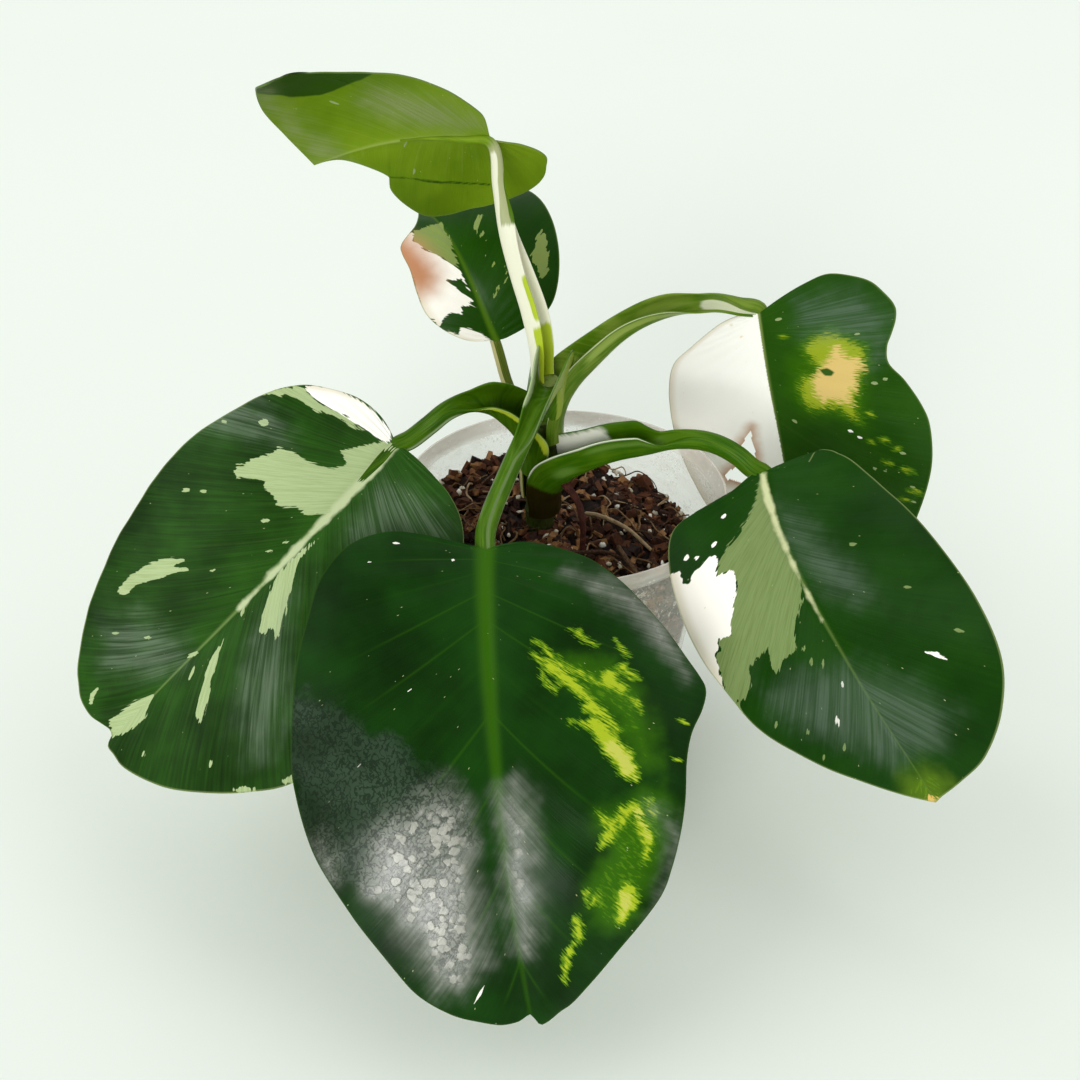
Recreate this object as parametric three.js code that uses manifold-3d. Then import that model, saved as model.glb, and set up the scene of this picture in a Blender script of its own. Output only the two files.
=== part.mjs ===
// A potted white wizard philodendron: six leaves on winged stalks, a short stem and a clear
// nursery pot filled with bark mix. Millimetres, +Z up, origin at the centre of the pot's foot.
import * as THREE from "three";
import { mergeVertices } from "three/addons/utils/BufferGeometryUtils.js";
import Module from "manifold-3d";

const wasm = await Module();
wasm.setup();

// The pot.
const RIM_DIAMETER = 120;
const POT_HEIGHT = 105;
const FOOT_DIAMETER = 83.2;
const WALL = 1.3;
const FLOOR_THICKNESS = 1.8;
const RIDGE_LEVEL = 87;
const RIDGE_STEP = 0.8;
const RIM_BAND = 3.5;
const RIM_LEVEL = 98;
const POT_SIDES = 56;
const DRAIN_DIAMETER = 7;
const DRAIN_CIRCLES = [{ diameter: 58, holes: 8 }, { diameter: 30, holes: 4 }];

// The potting mix, highest at the back left.
const MIX_LEVEL = 84;
const MIX_SLOPE_X = -0.14;
const MIX_SLOPE_Y = 0.05;
const MIX_RELIEF = 1.2;
const BARK_CHIPS = 42;
const PERLITE_GRAINS = 22;

// The stem and the leaves.
const GAP = 0.35;
const BLADE_THICKNESS = 0.8;
const STEM_RADIUS = 5.6;
const STEM_ROUTE = [[-9.4, 5.5, 66], [-8.8, 5, 90], [-7.6, 2.4, 124], [-6.9, 1, 149]];
const ROOT_RADIUS = 1.4;
const ROOT_ROUTE = [[-4, -1.5, 113], [-0.5, -6.5, 111.5], [3.8, -10, 107.4], [6.4, -13, 101], [6.6, -14, 78]];
const STRAND_RADIUS = 1.1;
const SURFACE_STRANDS = [
  [[-14, -21, 84], [-6, -18, 87.4], [6, -15.5, 86], [17, -14, 84], [28, -18, 79]],
  [[9, 15, 82], [14, 8, 85.5], [24, 2, 83.8], [33, -4, 78]],
];

// Each leaf: its midrib as four Bezier points, the way its upper side faces at both ends, the
// angle at which its halves rise from the midrib and the degrees per 100 mm by which they curl
// down again (left, right at the base, then at the tip), the curl of its back lobes, and the
// outline of its right and left half in the flat leaf (across, along) from the stalk to the tip.
const LEAVES = {
  a: {
    midrib: [[-26, -72, 127], [-26, -100, 118], [-22, -150, 85], [-11.7, -171.1, 28.6]],
    facing: [[0, -0.3, 1], [0, -1, 0.5]],
    rise: [[12, 12], [8, 8]],
    curl: [[50, 50], [40, 40]],
    lobeCurl: 30,
    right: [[5, -1], [16, -3], [30, -5], [42, -1], [51, 9], [55, 22], [59, 41], [61, 60], [60, 72],
      [56, 89], [47, 107], [37, 124], [31, 133], [23, 139.5], [15, 143.5], [9, 146], [4, 146.2],
      [1.5, 145.2]],
    left: [[-5, -1], [-14, -1], [-24, 2], [-33, 6], [-42, 14], [-49, 23], [-55, 31], [-60.5, 40],
      [-64.5, 47], [-66, 52], [-64, 58.5], [-59.5, 66], [-57, 74], [-55, 86], [-52, 97], [-48, 107],
      [-44, 114], [-36, 122], [-26, 131], [-14, 142], [-9, 145], [-5, 147.6], [-2.5, 148.4], [-1.2, 146.5]],
  },
  b: {
    midrib: [[-58, -22, 137], [-81, -50, 123], [-111, -80, 100], [-149.5, -91.6, 66.3]],
    facing: [[0.12, -0.52, 0.85], [-0.39, -0.64, 0.66]],
    rise: [[14, 14], [8, 8]],
    curl: [[50, 50], [45, 45]],
    lobeCurl: 30,
    right: [[4, -2], [10, -4], [19, -4], [28, -1], [38, 5], [46, 16], [52, 31], [56, 45], [58, 62],
      [56, 85], [50, 104], [40, 121], [28, 134], [22, 138], [17, 140], [11, 140], [6, 138], [2, 136.4]],
    left: [[-4, 0], [-15, 2], [-29, 6], [-40, 13], [-49, 26], [-55, 43], [-59, 62], [-60, 82],
      [-56, 100], [-48, 111], [-38, 121], [-27, 130], [-13, 138], [-6, 139.5], [-2, 140]],
  },
  c: {
    midrib: [[67.5, -26.5, 128.5], [68.5, -53.5, 112], [88.5, -107, 102.5], [113.5, -122, 66]],
    facing: [[-0.28, -0.51, 0.82], [-0.46, -0.89, 0.06]],
    rise: [[14, 14], [8, 8]],
    curl: [[50, 50], [45, 45]],
    lobeCurl: 30,
    right: [[4, 1], [14, 7.5], [25, 10.5], [34.5, 14.5], [39, 24], [41, 39], [41, 52], [39.5, 65],
      [38.5, 77], [35, 87], [27, 100], [17.5, 111], [8, 121]],
    left: [[-4, 1.2], [-12, 3], [-15.5, 2.4], [-17.2, 0], [-19, -2.2], [-22, -2.2], [-26, 0], [-30, 6],
      [-34, 16], [-37, 26], [-40.5, 40], [-43.5, 60], [-45.5, 81], [-43.5, 97], [-36, 108], [-24, 117],
      [-12, 122], [-4, 125]],
  },
  d: {
    midrib: [[72, 40, 156], [77, 37, 130], [89, 32, 89], [100, 26, 41]],
    facing: [[-0.35, -0.94, 0.04], [-0.49, -0.87, 0]],
    rise: [[10, 10], [8, 8]],
    curl: [[50, 70], [45, 60]],
    lobeCurl: 30,
    right: [[4, -1], [14, 2], [28, 11], [37, 18], [42, 29], [44, 42], [44, 57], [42, 70], [38, 82],
      [30, 97], [18, 110], [6, 117]],
    left: [[-4, -0.6], [-8, -4], [-14, -8], [-21, -12], [-28, -14], [-36, -12.5], [-42, -10], [-46, -6],
      [-50, 0], [-50, 6], [-48, 12], [-46, 17], [-46, 24], [-51, 32], [-56, 43], [-58, 52], [-57, 66],
      [-52, 81], [-45, 94], [-33, 107], [-17, 117]],
  },
  e: {
    midrib: [[-25, 20, 228], [-45, 18, 231], [-61, 15, 230], [-82, 8, 223]],
    facing: [[-0.1, 0.8, 0.6], [-0.1, 1, 0.1]],
    rise: [[12, 12], [2, 10]],
    curl: [[60, 40], [150, 60]],
    lobeCurl: 20,
    right: [[1.6, -8], [7, -19], [14, -21], [21, -21], [29, -18], [37, -11], [43, -2], [45, 8],
      [42.5, 16], [38, 23], [32, 28.5], [25, 33.5], [19.5, 36], [15.5, 35.5], [13, 37], [9.5, 40.5],
      [5.5, 45], [2, 50], [0.5, 54.5]],
    left: [[-4, 1.5], [-10, 4], [-16, 10], [-20, 15], [-24, 22], [-26.5, 28], [-28.5, 36], [-32, 45],
      [-39, 54], [-48, 60], [-53, 63.5], [-51, 66.5], [-40, 67.5], [-26, 67.5], [-13, 64]],
  },
  f: {
    midrib: [[-25, 34, 148], [-32, 36, 164], [-41, 46, 193], [-56, 74, 184]],
    facing: [[0.05, -0.75, 0.65], [-0.35, 0.3, 0.9]],
    rise: [[2, 10], [0, 6]],
    curl: [[110, 50], [110, 50]],
    lobeCurl: 20,
    right: [[4, -0.5], [12, 0], [22, 2.5], [29, 10], [35, 23], [38, 37], [37, 49], [31, 58], [21, 65],
      [8, 69]],
    left: [[-4, 2], [-10, 5], [-16, 11], [-20, 19], [-20, 28], [-18.5, 38], [-18, 46], [-16, 50], [-8, 54],
      [-3, 61]],
  },
};
const VEIN_ROWS = 15;
const TIP_ROWS = [0.965, 0.988];
const BLADE_COLUMNS = 5;
const VEIN_CROWDING = 1.8;

// Each stalk: its route from inside the stem to just short of the blade, the horizontal way in
// which its open side faces at the foot, its radius at the foot and along the stalk, and its two
// wings: their height at shares of its length, the last where they end, and how far apart they stand.
const STALKS = {
  e: {
    route: [[-7, 1, 149.5], [-7.8, 2, 160.6], [-11.2, 6, 173.4], [-15.3, 10, 184.6], [-19.6, 14, 198],
      [-22.4, 17.5, 213]],
    open: [1, -0.4, 0],
    footRadius: 4.9,
    clasp: 0.92,
    radius: 1.5,
    wings: { heights: [[0.02, 0], [0.2, 1.8], [0.5, 1.8], [0.61, 0]], spread: 0.8 },
  },
  d: {
    route: [[-7.9, 2.9, 126], [-7.2, 2, 135], [-4, 4, 142.5], [1, 8, 147.6], [7.9, 12.5, 152],
      [19.2, 20, 158.2], [28.9, 26, 161.5], [38.6, 31, 162.9], [48.6, 35, 162.8], [56.6, 38, 161.6],
      [64.7, 40.4, 159]],
    open: [-1, -0.5, 0],
    footRadius: 7.6,
    clasp: 0.42,
    radius: 3.5,
    wings: { heights: [[0.02, 0], [0.2, 3.4], [0.5, 3], [0.66, 0]], spread: 0.9 },
  },
  a: {
    route: [[-7.4, 1.6, 137], [-6.3, -0.4, 146], [-5.6, -5, 151.6], [-7.4, -11.6, 149.8], [-11.8, -20, 143.6],
      [-16.6, -30, 137.3], [-20.7, -41, 132.7], [-24.4, -53, 129.2], [-26.3, -63, 126.6]],
    open: [0.1, 1, 0],
    footRadius: 7.2,
    clasp: 0.24,
    radius: 3.3,
    wings: { heights: [[0.02, 0], [0.1, 11], [0.16, 10], [0.24, 5.5], [0.345, 0]], spread: 1 },
  },
  b: {
    route: [[-8.2, 3.6, 112], [-8.4, 2.2, 121], [-12, -2, 131], [-18.8, -7, 140.5], [-25.3, -11, 146.4],
      [-32.6, -14.5, 148.6], [-39.9, -18, 147.2], [-46.6, -20.4, 142.6], [-53, -20.8, 137.4]],
    open: [1, -0.3, 0],
    footRadius: 7.8,
    clasp: 0.55,
    radius: 3.4,
    wings: { heights: [[0.02, 0], [0.2, 6.5], [0.41, 6.5], [0.46, 0]], spread: 0.8 },
  },
  f: {
    route: [[-8.9, 4.6, 100], [-10.5, 7.5, 109], [-13.5, 13, 119.5], [-18, 21, 129], [-21.5, 27.5, 135.8],
      [-23.6, 32, 141.8]],
    open: [0.4, -1, 0],
    footRadius: 7,
    clasp: 0.4,
    radius: 2.1,
    wings: { heights: [[0.02, 0], [0.2, 1.5], [0.3, 0]], spread: 0.8 },
  },
  c: {
    route: [[-8.6, 4.4, 95], [-8, 2.4, 103.5], [-4, -2, 112.5], [1.1, -6, 118], [8.7, -9.4, 123],
      [18.5, -11.4, 127.4], [28.2, -12, 130], [37.2, -12.9, 132.8], [45.6, -15.2, 134.1], [52.6, -18.6, 134],
      [59.2, -22, 131.6], [64.4, -24.2, 127.8]],
    open: [-1, 0.3, 0],
    footRadius: 7.8,
    clasp: 0.36,
    radius: 3.5,
    wings: { heights: [[0.02, 0], [0.2, 8.5], [0.42, 8], [0.49, 0]], spread: 1.1 },
  },
};
const WING_THICKNESS = 1.1;
const STALK_STEPS = 18;
const RIB_REACH = [0, 9, 19, 30];
const RIB_TAPER = [0.85, 0.62, 0.42, 0.24];

// Solids and meshes.

function solidOf(geometry) {
  const plain = new THREE.BufferGeometry();
  plain.setAttribute("position", geometry.getAttribute("position"));
  plain.setIndex(geometry.index);
  const merged = mergeVertices(plain, 1e-4);
  return new wasm.Manifold(
    new wasm.Mesh({
      numProp: 3,
      vertProperties: new Float32Array(merged.attributes.position.array),
      triVerts: new Uint32Array(merged.index.array),
    }),
  );
}

function geometryOf(solid) {
  const mesh = solid.getMesh();
  const geometry = new THREE.BufferGeometry();
  geometry.setAttribute("position", new THREE.BufferAttribute(mesh.vertProperties, 3));
  geometry.setIndex(new THREE.BufferAttribute(mesh.triVerts, 1));
  return geometry;
}

// A cut can free a sliver from a thin piece: the largest body is the piece itself.
function largestBody(solid) {
  return solid.decompose().reduce((best, body) => (body.volume() > best.volume() ? body : best));
}

function meshOf(name, solid, colour, roughness, extra = {}) {
  const material = new THREE.MeshStandardMaterial({ color: colour, roughness, metalness: 0, ...extra });
  const mesh = new THREE.Mesh(geometryOf(largestBody(solid)), material);
  mesh.name = name;
  return mesh;
}

function randomFrom(seed) {
  let state = seed;
  return () => {
    state = (state * 1664525 + 1013904223) % 4294967296;
    return state / 4294967296;
  };
}

const vector = (p) => new THREE.Vector3(...p);
const mix = THREE.MathUtils.lerp;
const smooth = THREE.MathUtils.smoothstep;

// A closed skin over a row of equal rings, each a list of points, with flat ends.
function skinOver(rings, capOutline) {
  const sides = rings[0].length;
  const points = rings.flat();
  const faces = [];
  for (let r = 0; r + 1 < rings.length; r++) {
    for (let k = 0; k < sides; k++) {
      const a = r * sides + k;
      const b = r * sides + ((k + 1) % sides);
      faces.push(a, b, b + sides, a, b + sides, a + sides);
    }
  }
  const last = (rings.length - 1) * sides;
  const clockwise = THREE.ShapeUtils.isClockWise(capOutline);
  for (const triangle of THREE.ShapeUtils.triangulateShape(capOutline, [])) {
    const [i, j, k] = clockwise ? triangle.toReversed() : triangle;
    faces.push(i, k, j, last + i, last + j, last + k);
  }
  const geometry = new THREE.BufferGeometry().setFromPoints(points);
  geometry.setIndex(faces);
  return geometry;
}

// A round tube along a smooth route.
function tube(route, radius, sides, steps) {
  const section = new THREE.Shape();
  section.absarc(0, 0, radius, 0, 2 * Math.PI);
  return new THREE.ExtrudeGeometry(new THREE.Shape(section.getPoints(sides / 2).slice(0, sides)), {
    extrudePath: new THREE.CatmullRomCurve3(route.map(vector)),
    steps,
    curveSegments: 1,
  });
}

// The leaf blades.

// A leaf's surface bends the flat leaf: each point lies across the midrib on an arc that first
// rises and then curls down, and the back lobes bend down behind the stalk.
class LeafSurface {
  constructor(leaf) {
    this.leaf = leaf;
    this.curve = new THREE.CubicBezierCurve3(...leaf.midrib.map(vector));
    this.length = this.curve.getLength();
    this.facing = leaf.facing.map((f) => vector(f).normalize());
  }

  // The midrib's point, direction and upper side at a distance along it.
  frame(along) {
    const share = THREE.MathUtils.clamp(along / this.length, 0, 1);
    const point = this.curve.getPointAt(share);
    const ahead = this.curve.getTangentAt(share);
    const blend = smooth(share, 0, 1);
    const up = this.facing[0].clone().lerp(this.facing[1], blend);
    up.addScaledVector(ahead, -up.dot(ahead)).normalize();
    const side = new THREE.Vector3().crossVectors(ahead, up);
    if (along < 0) {
      const bend = THREE.MathUtils.degToRad(this.leaf.lobeCurl) / 100;
      const angle = -bend * along;
      point.addScaledVector(ahead, -Math.sin(angle) / bend);
      point.addScaledVector(up, -(1 - Math.cos(angle)) / bend);
      up.multiplyScalar(Math.cos(angle)).addScaledVector(ahead, -Math.sin(angle)).normalize();
    }
    point.addScaledVector(ahead, Math.max(0, along - this.length));
    return { point, ahead, up, side };
  }

  at(across, along) {
    const { point, up, side } = this.frame(along);
    const share = THREE.MathUtils.clamp(along / this.length, 0, 1);
    const half = across < 0 ? 0 : 1;
    const { rise, curl } = this.leaf;
    const start = THREE.MathUtils.degToRad(mix(rise[0][half], rise[1][half], share));
    const turn = THREE.MathUtils.degToRad(mix(curl[0][half], curl[1][half], share)) / 100;
    const end = start - turn * Math.abs(across);
    const out = (Math.sin(start) - Math.sin(end)) / turn;
    const lift = (Math.cos(end) - Math.cos(start)) / turn;
    return point.addScaledVector(side, Math.sign(across) * out).addScaledVector(up, lift);
  }

  normalAt(across, along) {
    if (across === 0) {
      return this.frame(along).up;
    }
    const step = 0.5;
    const a = this.at(across + step, along).sub(this.at(across - step, along));
    const b = this.at(across, along + step).sub(this.at(across, along - step));
    return a.cross(b).normalize();
  }
}

// The flat leaf's rows follow its side veins, crowded towards the stalk, from the midrib out.
// Two more stand close to the tip, which can be notched beside a hook.
function bladeRows(leaf, length) {
  const tip = [0, length];
  const margins = ["left", "right"].map(
    (name) => new THREE.SplineCurve([...leaf[name], tip].map((p) => new THREE.Vector2(...p))),
  );
  const shares = [...Array(VEIN_ROWS).keys()].map((row) => row / VEIN_ROWS);
  const rows = [];
  for (const share of [...shares, ...TIP_ROWS]) {
    const onMidrib = new THREE.Vector2(0, length * share ** VEIN_CROWDING);
    const row = [];
    for (let j = -BLADE_COLUMNS; j <= BLADE_COLUMNS; j++) {
      const end = margins[j < 0 ? 0 : 1].getPointAt(share);
      row.push(onMidrib.clone().lerp(end, Math.abs(j) / BLADE_COLUMNS));
    }
    rows.push(row);
  }
  return rows;
}

function bladeGeometry(leaf) {
  const surface = new LeafSurface(leaf);
  const rows = bladeRows(leaf, surface.length);
  const width = 2 * BLADE_COLUMNS + 1;
  const flat = [...rows.flat(), new THREE.Vector2(0, surface.length)];
  const count = flat.length;
  const half = BLADE_THICKNESS / 2;
  const points = [half, -half].flatMap((offset) =>
    flat.map(({ x, y }) => surface.at(x, y).addScaledVector(surface.normalAt(x, y), offset)),
  );
  const upper = [];
  for (let r = 0; r + 1 < rows.length; r++) {
    for (let k = 0; k + 1 < width; k++) {
      const a = r * width + k;
      upper.push([a, a + 1, a + 1 + width], [a, a + 1 + width, a + width]);
    }
  }
  const lastRow = (rows.length - 1) * width;
  for (let k = 0; k + 1 < width; k++) {
    upper.push([lastRow + k, lastRow + k + 1, count - 1]);
  }
  const rim = [
    ...rows[0].map((_, k) => k),
    ...rows.slice(1).map((_, r) => (r + 2) * width - 1),
    count - 1,
    ...rows.slice(1).map((_, r) => (rows.length - 1 - r) * width),
  ];
  const faces = [];
  for (const [a, b, c] of upper) {
    faces.push(a, b, c, count + a, count + c, count + b);
  }
  rim.forEach((a, k) => {
    const b = rim[(k + 1) % rim.length];
    faces.push(a, count + a, count + b, a, count + b, b);
  });
  const geometry = new THREE.BufferGeometry().setFromPoints(points);
  geometry.setIndex(faces);
  return geometry;
}

// The leaf stalks.

// A stalk's section, sideways and towards its open side, from the right wing's outer edge round
// the back to the left one and back through the channel. It goes from a round stalk with a
// shallow channel (gutter 0) to a gutter between two wings (gutter 1). A grown section, which
// cuts room for the stalk, has its channel filled.
function stalkSection(stalkRadius, gutter, wings, height, grow) {
  const radius = stalkRadius + grow;
  const inner = Math.max(radius - WING_THICKNESS, 0.4 * radius);
  const stand = radius + 0.12 * wings.spread * height;
  const top = height + 0.3 * stalkRadius + grow;
  const across = (share) => [mix(-stand, stand, share), top];
  const channel = [
    [-stand + WING_THICKNESS, top],
    [-inner, 0],
    [0, -0.72 * inner],
    [inner, 0],
    [stand - WING_THICKNESS, top],
  ];
  const arc = (degrees, size) => {
    const angle = THREE.MathUtils.degToRad(degrees);
    return [size * Math.cos(angle), size * Math.sin(angle)];
  };
  const round = [
    ...[60, 30, 0, -30, -60, -90, -120, -150, -180, -210, -240].map((degrees) => arc(degrees, radius)),
    ...[112, 101, 90, 79, 68].map((degrees) => arc(degrees, radius * (degrees === 90 ? 0.72 : 0.8))),
  ];
  const open = [
    [stand, top],
    [0.5 * (stand + radius), 0.5 * top],
    ...[0, -30, -60, -90, -120, -150, -180].map((degrees) => arc(degrees, radius)),
    [-0.5 * (stand + radius), 0.5 * top],
    [-stand, top],
    ...(grow > 0 ? [1, 2, 3, 4, 5].map((k) => across(k / 6)) : channel),
  ];
  return round.map(([x, y], k) => new THREE.Vector2(mix(x, open[k][0], gutter), mix(y, open[k][1], gutter)));
}

// The route runs on under the blade as a tapering rib.
function stalkRoute(stalk, surface) {
  const rib = RIB_REACH.map((reach, k) => {
    const { point, up } = surface.frame(reach);
    const depth = BLADE_THICKNESS / 2 + GAP + 0.1 + stalk.radius * RIB_TAPER[k];
    return point.addScaledVector(up, -depth);
  });
  return new THREE.CatmullRomCurve3([...stalk.route.map(vector), ...rib], false, "centripetal");
}

// Frames that turn with the route without twisting, then twist evenly so that the open side
// meets the blade's upper side.
function stalkFrames(stalk, surface, curve, steps) {
  const ends = surface.frame(0);
  const frames = [];
  let open = vector(stalk.open).normalize();
  for (let k = 0; k <= steps; k++) {
    const point = curve.getPointAt(k / steps);
    const ahead = curve.getTangentAt(k / steps);
    open = open.clone().addScaledVector(ahead, -open.dot(ahead)).normalize();
    frames.push({ point, ahead, open, share: k / steps });
  }
  const last = frames[steps];
  const wanted = ends.up.clone().addScaledVector(last.ahead, -ends.up.dot(last.ahead)).normalize();
  const twist = Math.atan2(last.open.clone().cross(wanted).dot(last.ahead), last.open.dot(wanted));
  for (const frame of frames) {
    const turn = twist * smooth(frame.share, 0.3, 0.8);
    frame.open = frame.open.clone().applyAxisAngle(frame.ahead, turn);
    frame.side = new THREE.Vector3().crossVectors(frame.ahead, frame.open);
  }
  return frames;
}

// How high the wings stand at a share of the stalk's length.
function wingHeight(heights, share) {
  const next = heights.findIndex(([at]) => at > share);
  if (next < 1) {
    return 0;
  }
  const [[from, low], [to, high]] = heights.slice(next - 1, next + 1);
  return mix(low, high, smooth(share, from, to));
}

function stalkGeometry(stalk, surface, grow = 0) {
  const curve = stalkRoute(stalk, surface);
  const steps = 2 * STALK_STEPS;
  const frames = stalkFrames(stalk, surface, curve, steps);
  const ribStart = curve.getLength() - RIB_REACH.at(-1);
  const { wings } = stalk;
  const wingsEnd = wings.heights.at(-1)[0];
  const near = (share) => Math.abs(share - wingsEnd) < 0.05;
  const rings = [];
  let cap;
  frames.forEach((frame, k) => {
    if (k % 2 === 1 && !near(frame.share)) {
      return;
    }
    const { share } = frame;
    const onRib = smooth(share * curve.getLength(), ribStart - 6, curve.getLength());
    const clasping = 1 - smooth(share, 0, stalk.clasp);
    const radius = mix(mix(stalk.radius, stalk.footRadius, clasping), stalk.radius * RIB_TAPER.at(-1), onRib);
    const gutter = 1 - smooth(share, wingsEnd - 0.02, wingsEnd + 0.1);
    cap = stalkSection(radius, gutter, wings, wingHeight(wings.heights, share), grow);
    rings.push(
      cap.map((p) => frame.point.clone().addScaledVector(frame.side, p.x).addScaledVector(frame.open, p.y)),
    );
  });
  return skinOver(rings, cap);
}

// The pot and what fills it.

// The height of the wall's outer face at a level, from the foot up to the rim band.
function potRadius(level) {
  const foot = FOOT_DIAMETER / 2;
  const underRim = RIM_DIAMETER / 2 - 2.6;
  const straight = mix(foot, underRim - RIDGE_STEP, level / RIM_LEVEL);
  return level > RIDGE_LEVEL ? straight + RIDGE_STEP : straight;
}

function lathe(profile, sides) {
  const points = profile.map(([radius, level]) => new THREE.Vector2(radius, level));
  const geometry = new THREE.LatheGeometry(points, sides);
  return geometry.rotateX(Math.PI / 2);
}

function potSolid() {
  const rim = RIM_DIAMETER / 2;
  const foot = FOOT_DIAMETER / 2;
  const profile = [
    [0, 0],
    [foot, 0],
    [potRadius(RIDGE_LEVEL - 0.6), RIDGE_LEVEL - 0.6],
    [potRadius(RIDGE_LEVEL + 0.6), RIDGE_LEVEL + 0.6],
    [potRadius(RIM_LEVEL), RIM_LEVEL],
    [rim - 1.2, RIM_LEVEL + 0.2],
    [rim, POT_HEIGHT - RIM_BAND],
    [rim, POT_HEIGHT],
    [rim - WALL, POT_HEIGHT],
    [rim - WALL - 0.3, POT_HEIGHT - RIM_BAND],
    [potRadius(RIM_LEVEL) - WALL, RIM_LEVEL],
    [potRadius(RIDGE_LEVEL + 0.6) - WALL, RIDGE_LEVEL + 0.6],
    [potRadius(RIDGE_LEVEL - 0.6) - WALL, RIDGE_LEVEL - 0.6],
    [potRadius(FLOOR_THICKNESS) - WALL, FLOOR_THICKNESS],
    [0, FLOOR_THICKNESS],
  ];
  let pot = solidOf(lathe(profile, POT_SIDES));
  for (const { diameter, holes } of DRAIN_CIRCLES) {
    for (let k = 0; k < holes; k++) {
      const angle = (2 * Math.PI * k) / holes;
      const drill = new THREE.CylinderGeometry(DRAIN_DIAMETER / 2, DRAIN_DIAMETER / 2, 12, 14);
      drill.rotateX(Math.PI / 2);
      drill.translate((diameter / 2) * Math.cos(angle), (diameter / 2) * Math.sin(angle), 0);
      pot = pot.subtract(solidOf(drill));
    }
  }
  return pot;
}

function mixLevel(x, y) {
  const relief = Math.sin(0.21 * x + 1.1) * Math.cos(0.17 * y - 0.4) + 0.5 * Math.sin(0.43 * (x + y));
  return MIX_LEVEL + MIX_SLOPE_X * x + MIX_SLOPE_Y * y + MIX_RELIEF * relief;
}

// The space inside the pot that the mix can fill.
function potInside() {
  const bottom = FLOOR_THICKNESS + GAP;
  const inside = (level) => potRadius(level) - WALL - GAP - 0.1;
  const profile = [
    [0, bottom],
    [inside(bottom), bottom],
    [inside(RIDGE_LEVEL - 0.7), RIDGE_LEVEL - 0.7],
    [inside(RIDGE_LEVEL + 1), RIDGE_LEVEL + 1],
    [inside(RIM_LEVEL - 0.5), RIM_LEVEL - 0.5],
    [inside(RIM_LEVEL - 0.5), POT_HEIGHT],
    [0, POT_HEIGHT],
  ];
  return solidOf(lathe(profile, POT_SIDES));
}

function mixBed() {
  const radii = [12, 22, 31, 39, 47, 54, 62];
  const sides = 36;
  const ring = (radius, level) =>
    Array.from({ length: sides }, (_, k) => {
      const angle = (2 * Math.PI * k) / sides;
      const x = radius * Math.cos(angle);
      const y = radius * Math.sin(angle);
      return new THREE.Vector3(x, y, level ?? mixLevel(x, y));
    });
  const outer = radii.at(-1);
  const rings = [ring(outer, 0), ...radii.toReversed().map((radius) => ring(radius))];
  const cap = ring(10).map((p) => new THREE.Vector2(p.x, p.y));
  return solidOf(skinOver(rings, cap));
}

function placeAt(geometry, x, y, z, turn) {
  geometry.rotateX(turn.x).rotateY(turn.y).rotateZ(turn.z);
  return geometry.translate(x, y, z);
}

function mixSolid(holes) {
  const random = randomFrom(41);
  const between = (low, high) => low + (high - low) * random();
  let bed = mixBed();
  for (let k = 0; k < BARK_CHIPS + PERLITE_GRAINS; k++) {
    const reach = 53 * Math.sqrt(random());
    const angle = 2 * Math.PI * random();
    const x = reach * Math.cos(angle);
    const y = reach * Math.sin(angle);
    const turn = { x: between(-0.5, 0.5), y: between(-0.5, 0.5), z: between(0, Math.PI) };
    const isBark = k < BARK_CHIPS;
    const piece = isBark
      ? new THREE.BoxGeometry(between(7, 13), between(4.5, 8), between(2.5, 4.5))
      : new THREE.OctahedronGeometry(between(1.8, 2.8));
    bed = bed.add(solidOf(placeAt(piece, x, y, mixLevel(x, y) + (isBark ? 0.4 : 1), turn)));
  }
  for (const route of SURFACE_STRANDS) {
    bed = bed.add(solidOf(tube(route, STRAND_RADIUS, 8, 14)));
  }
  bed = bed.intersect(potInside());
  for (const hole of holes) {
    bed = bed.subtract(hole);
  }
  return bed;
}

// The plant, newest leaf first: each older stalk clasps the stem and the newer stalks.

const stem = solidOf(tube(STEM_ROUTE, STEM_RADIUS, 20, 12));
const stemHole = solidOf(tube(STEM_ROUTE, STEM_RADIUS + GAP, 20, 12));
const rootHole = solidOf(tube(ROOT_ROUTE, ROOT_RADIUS + GAP, 10, 20));

const plant = new THREE.Group();
const cutters = [stemHole];
const stalkCutters = {};
for (const [name, stalk] of Object.entries(STALKS)) {
  const surface = new LeafSurface(LEAVES[name]);
  let solid = solidOf(stalkGeometry(stalk, surface));
  for (const cutter of cutters) {
    solid = solid.subtract(cutter);
  }
  stalkCutters[name] = solidOf(stalkGeometry(stalk, surface, GAP));
  cutters.push(stalkCutters[name]);
  plant.add(meshOf(`stalk_${name}`, solid, name === "e" ? 0xdfe6b8 : 0x5d8a2a, 0.45));
}

const LEAF_COLOURS = { a: 0x1f4a1c, b: 0x1f4a1c, c: 0x2a5222, d: 0x24501e, e: 0x7f9c2c, f: 0x1c4618 };
for (const [name, leaf] of Object.entries(LEAVES)) {
  let blade = solidOf(bladeGeometry(leaf));
  blade = blade.subtract(stalkCutters[name]);
  plant.add(meshOf(`leaf_${name}`, blade, LEAF_COLOURS[name], 0.35));
}

let root = solidOf(tube(ROOT_ROUTE, ROOT_RADIUS, 10, 20));
for (const cutter of [stemHole, stalkCutters.c, stalkCutters.b]) {
  root = root.subtract(cutter);
}

const group = new THREE.Group();
group.add(plant);
group.add(meshOf("main_stem", stem, 0x6f8a35, 0.6));
group.add(meshOf("aerial_root", root, 0x6b3a22, 0.8));
group.add(meshOf("potting_mix", mixSolid([stemHole, rootHole]), 0x5a3a24, 0.95));
group.add(meshOf("pot", potSolid(), 0xe6ece8, 0.15, { transparent: true, opacity: 0.3 }));

export default group;
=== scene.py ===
"""Looks of a potted white wizard philodendron: six variegated leaves on winged stalks, a short
stem with an aerial root, bark mix with perlite and a clear nursery pot, on a pale floor."""

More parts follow.
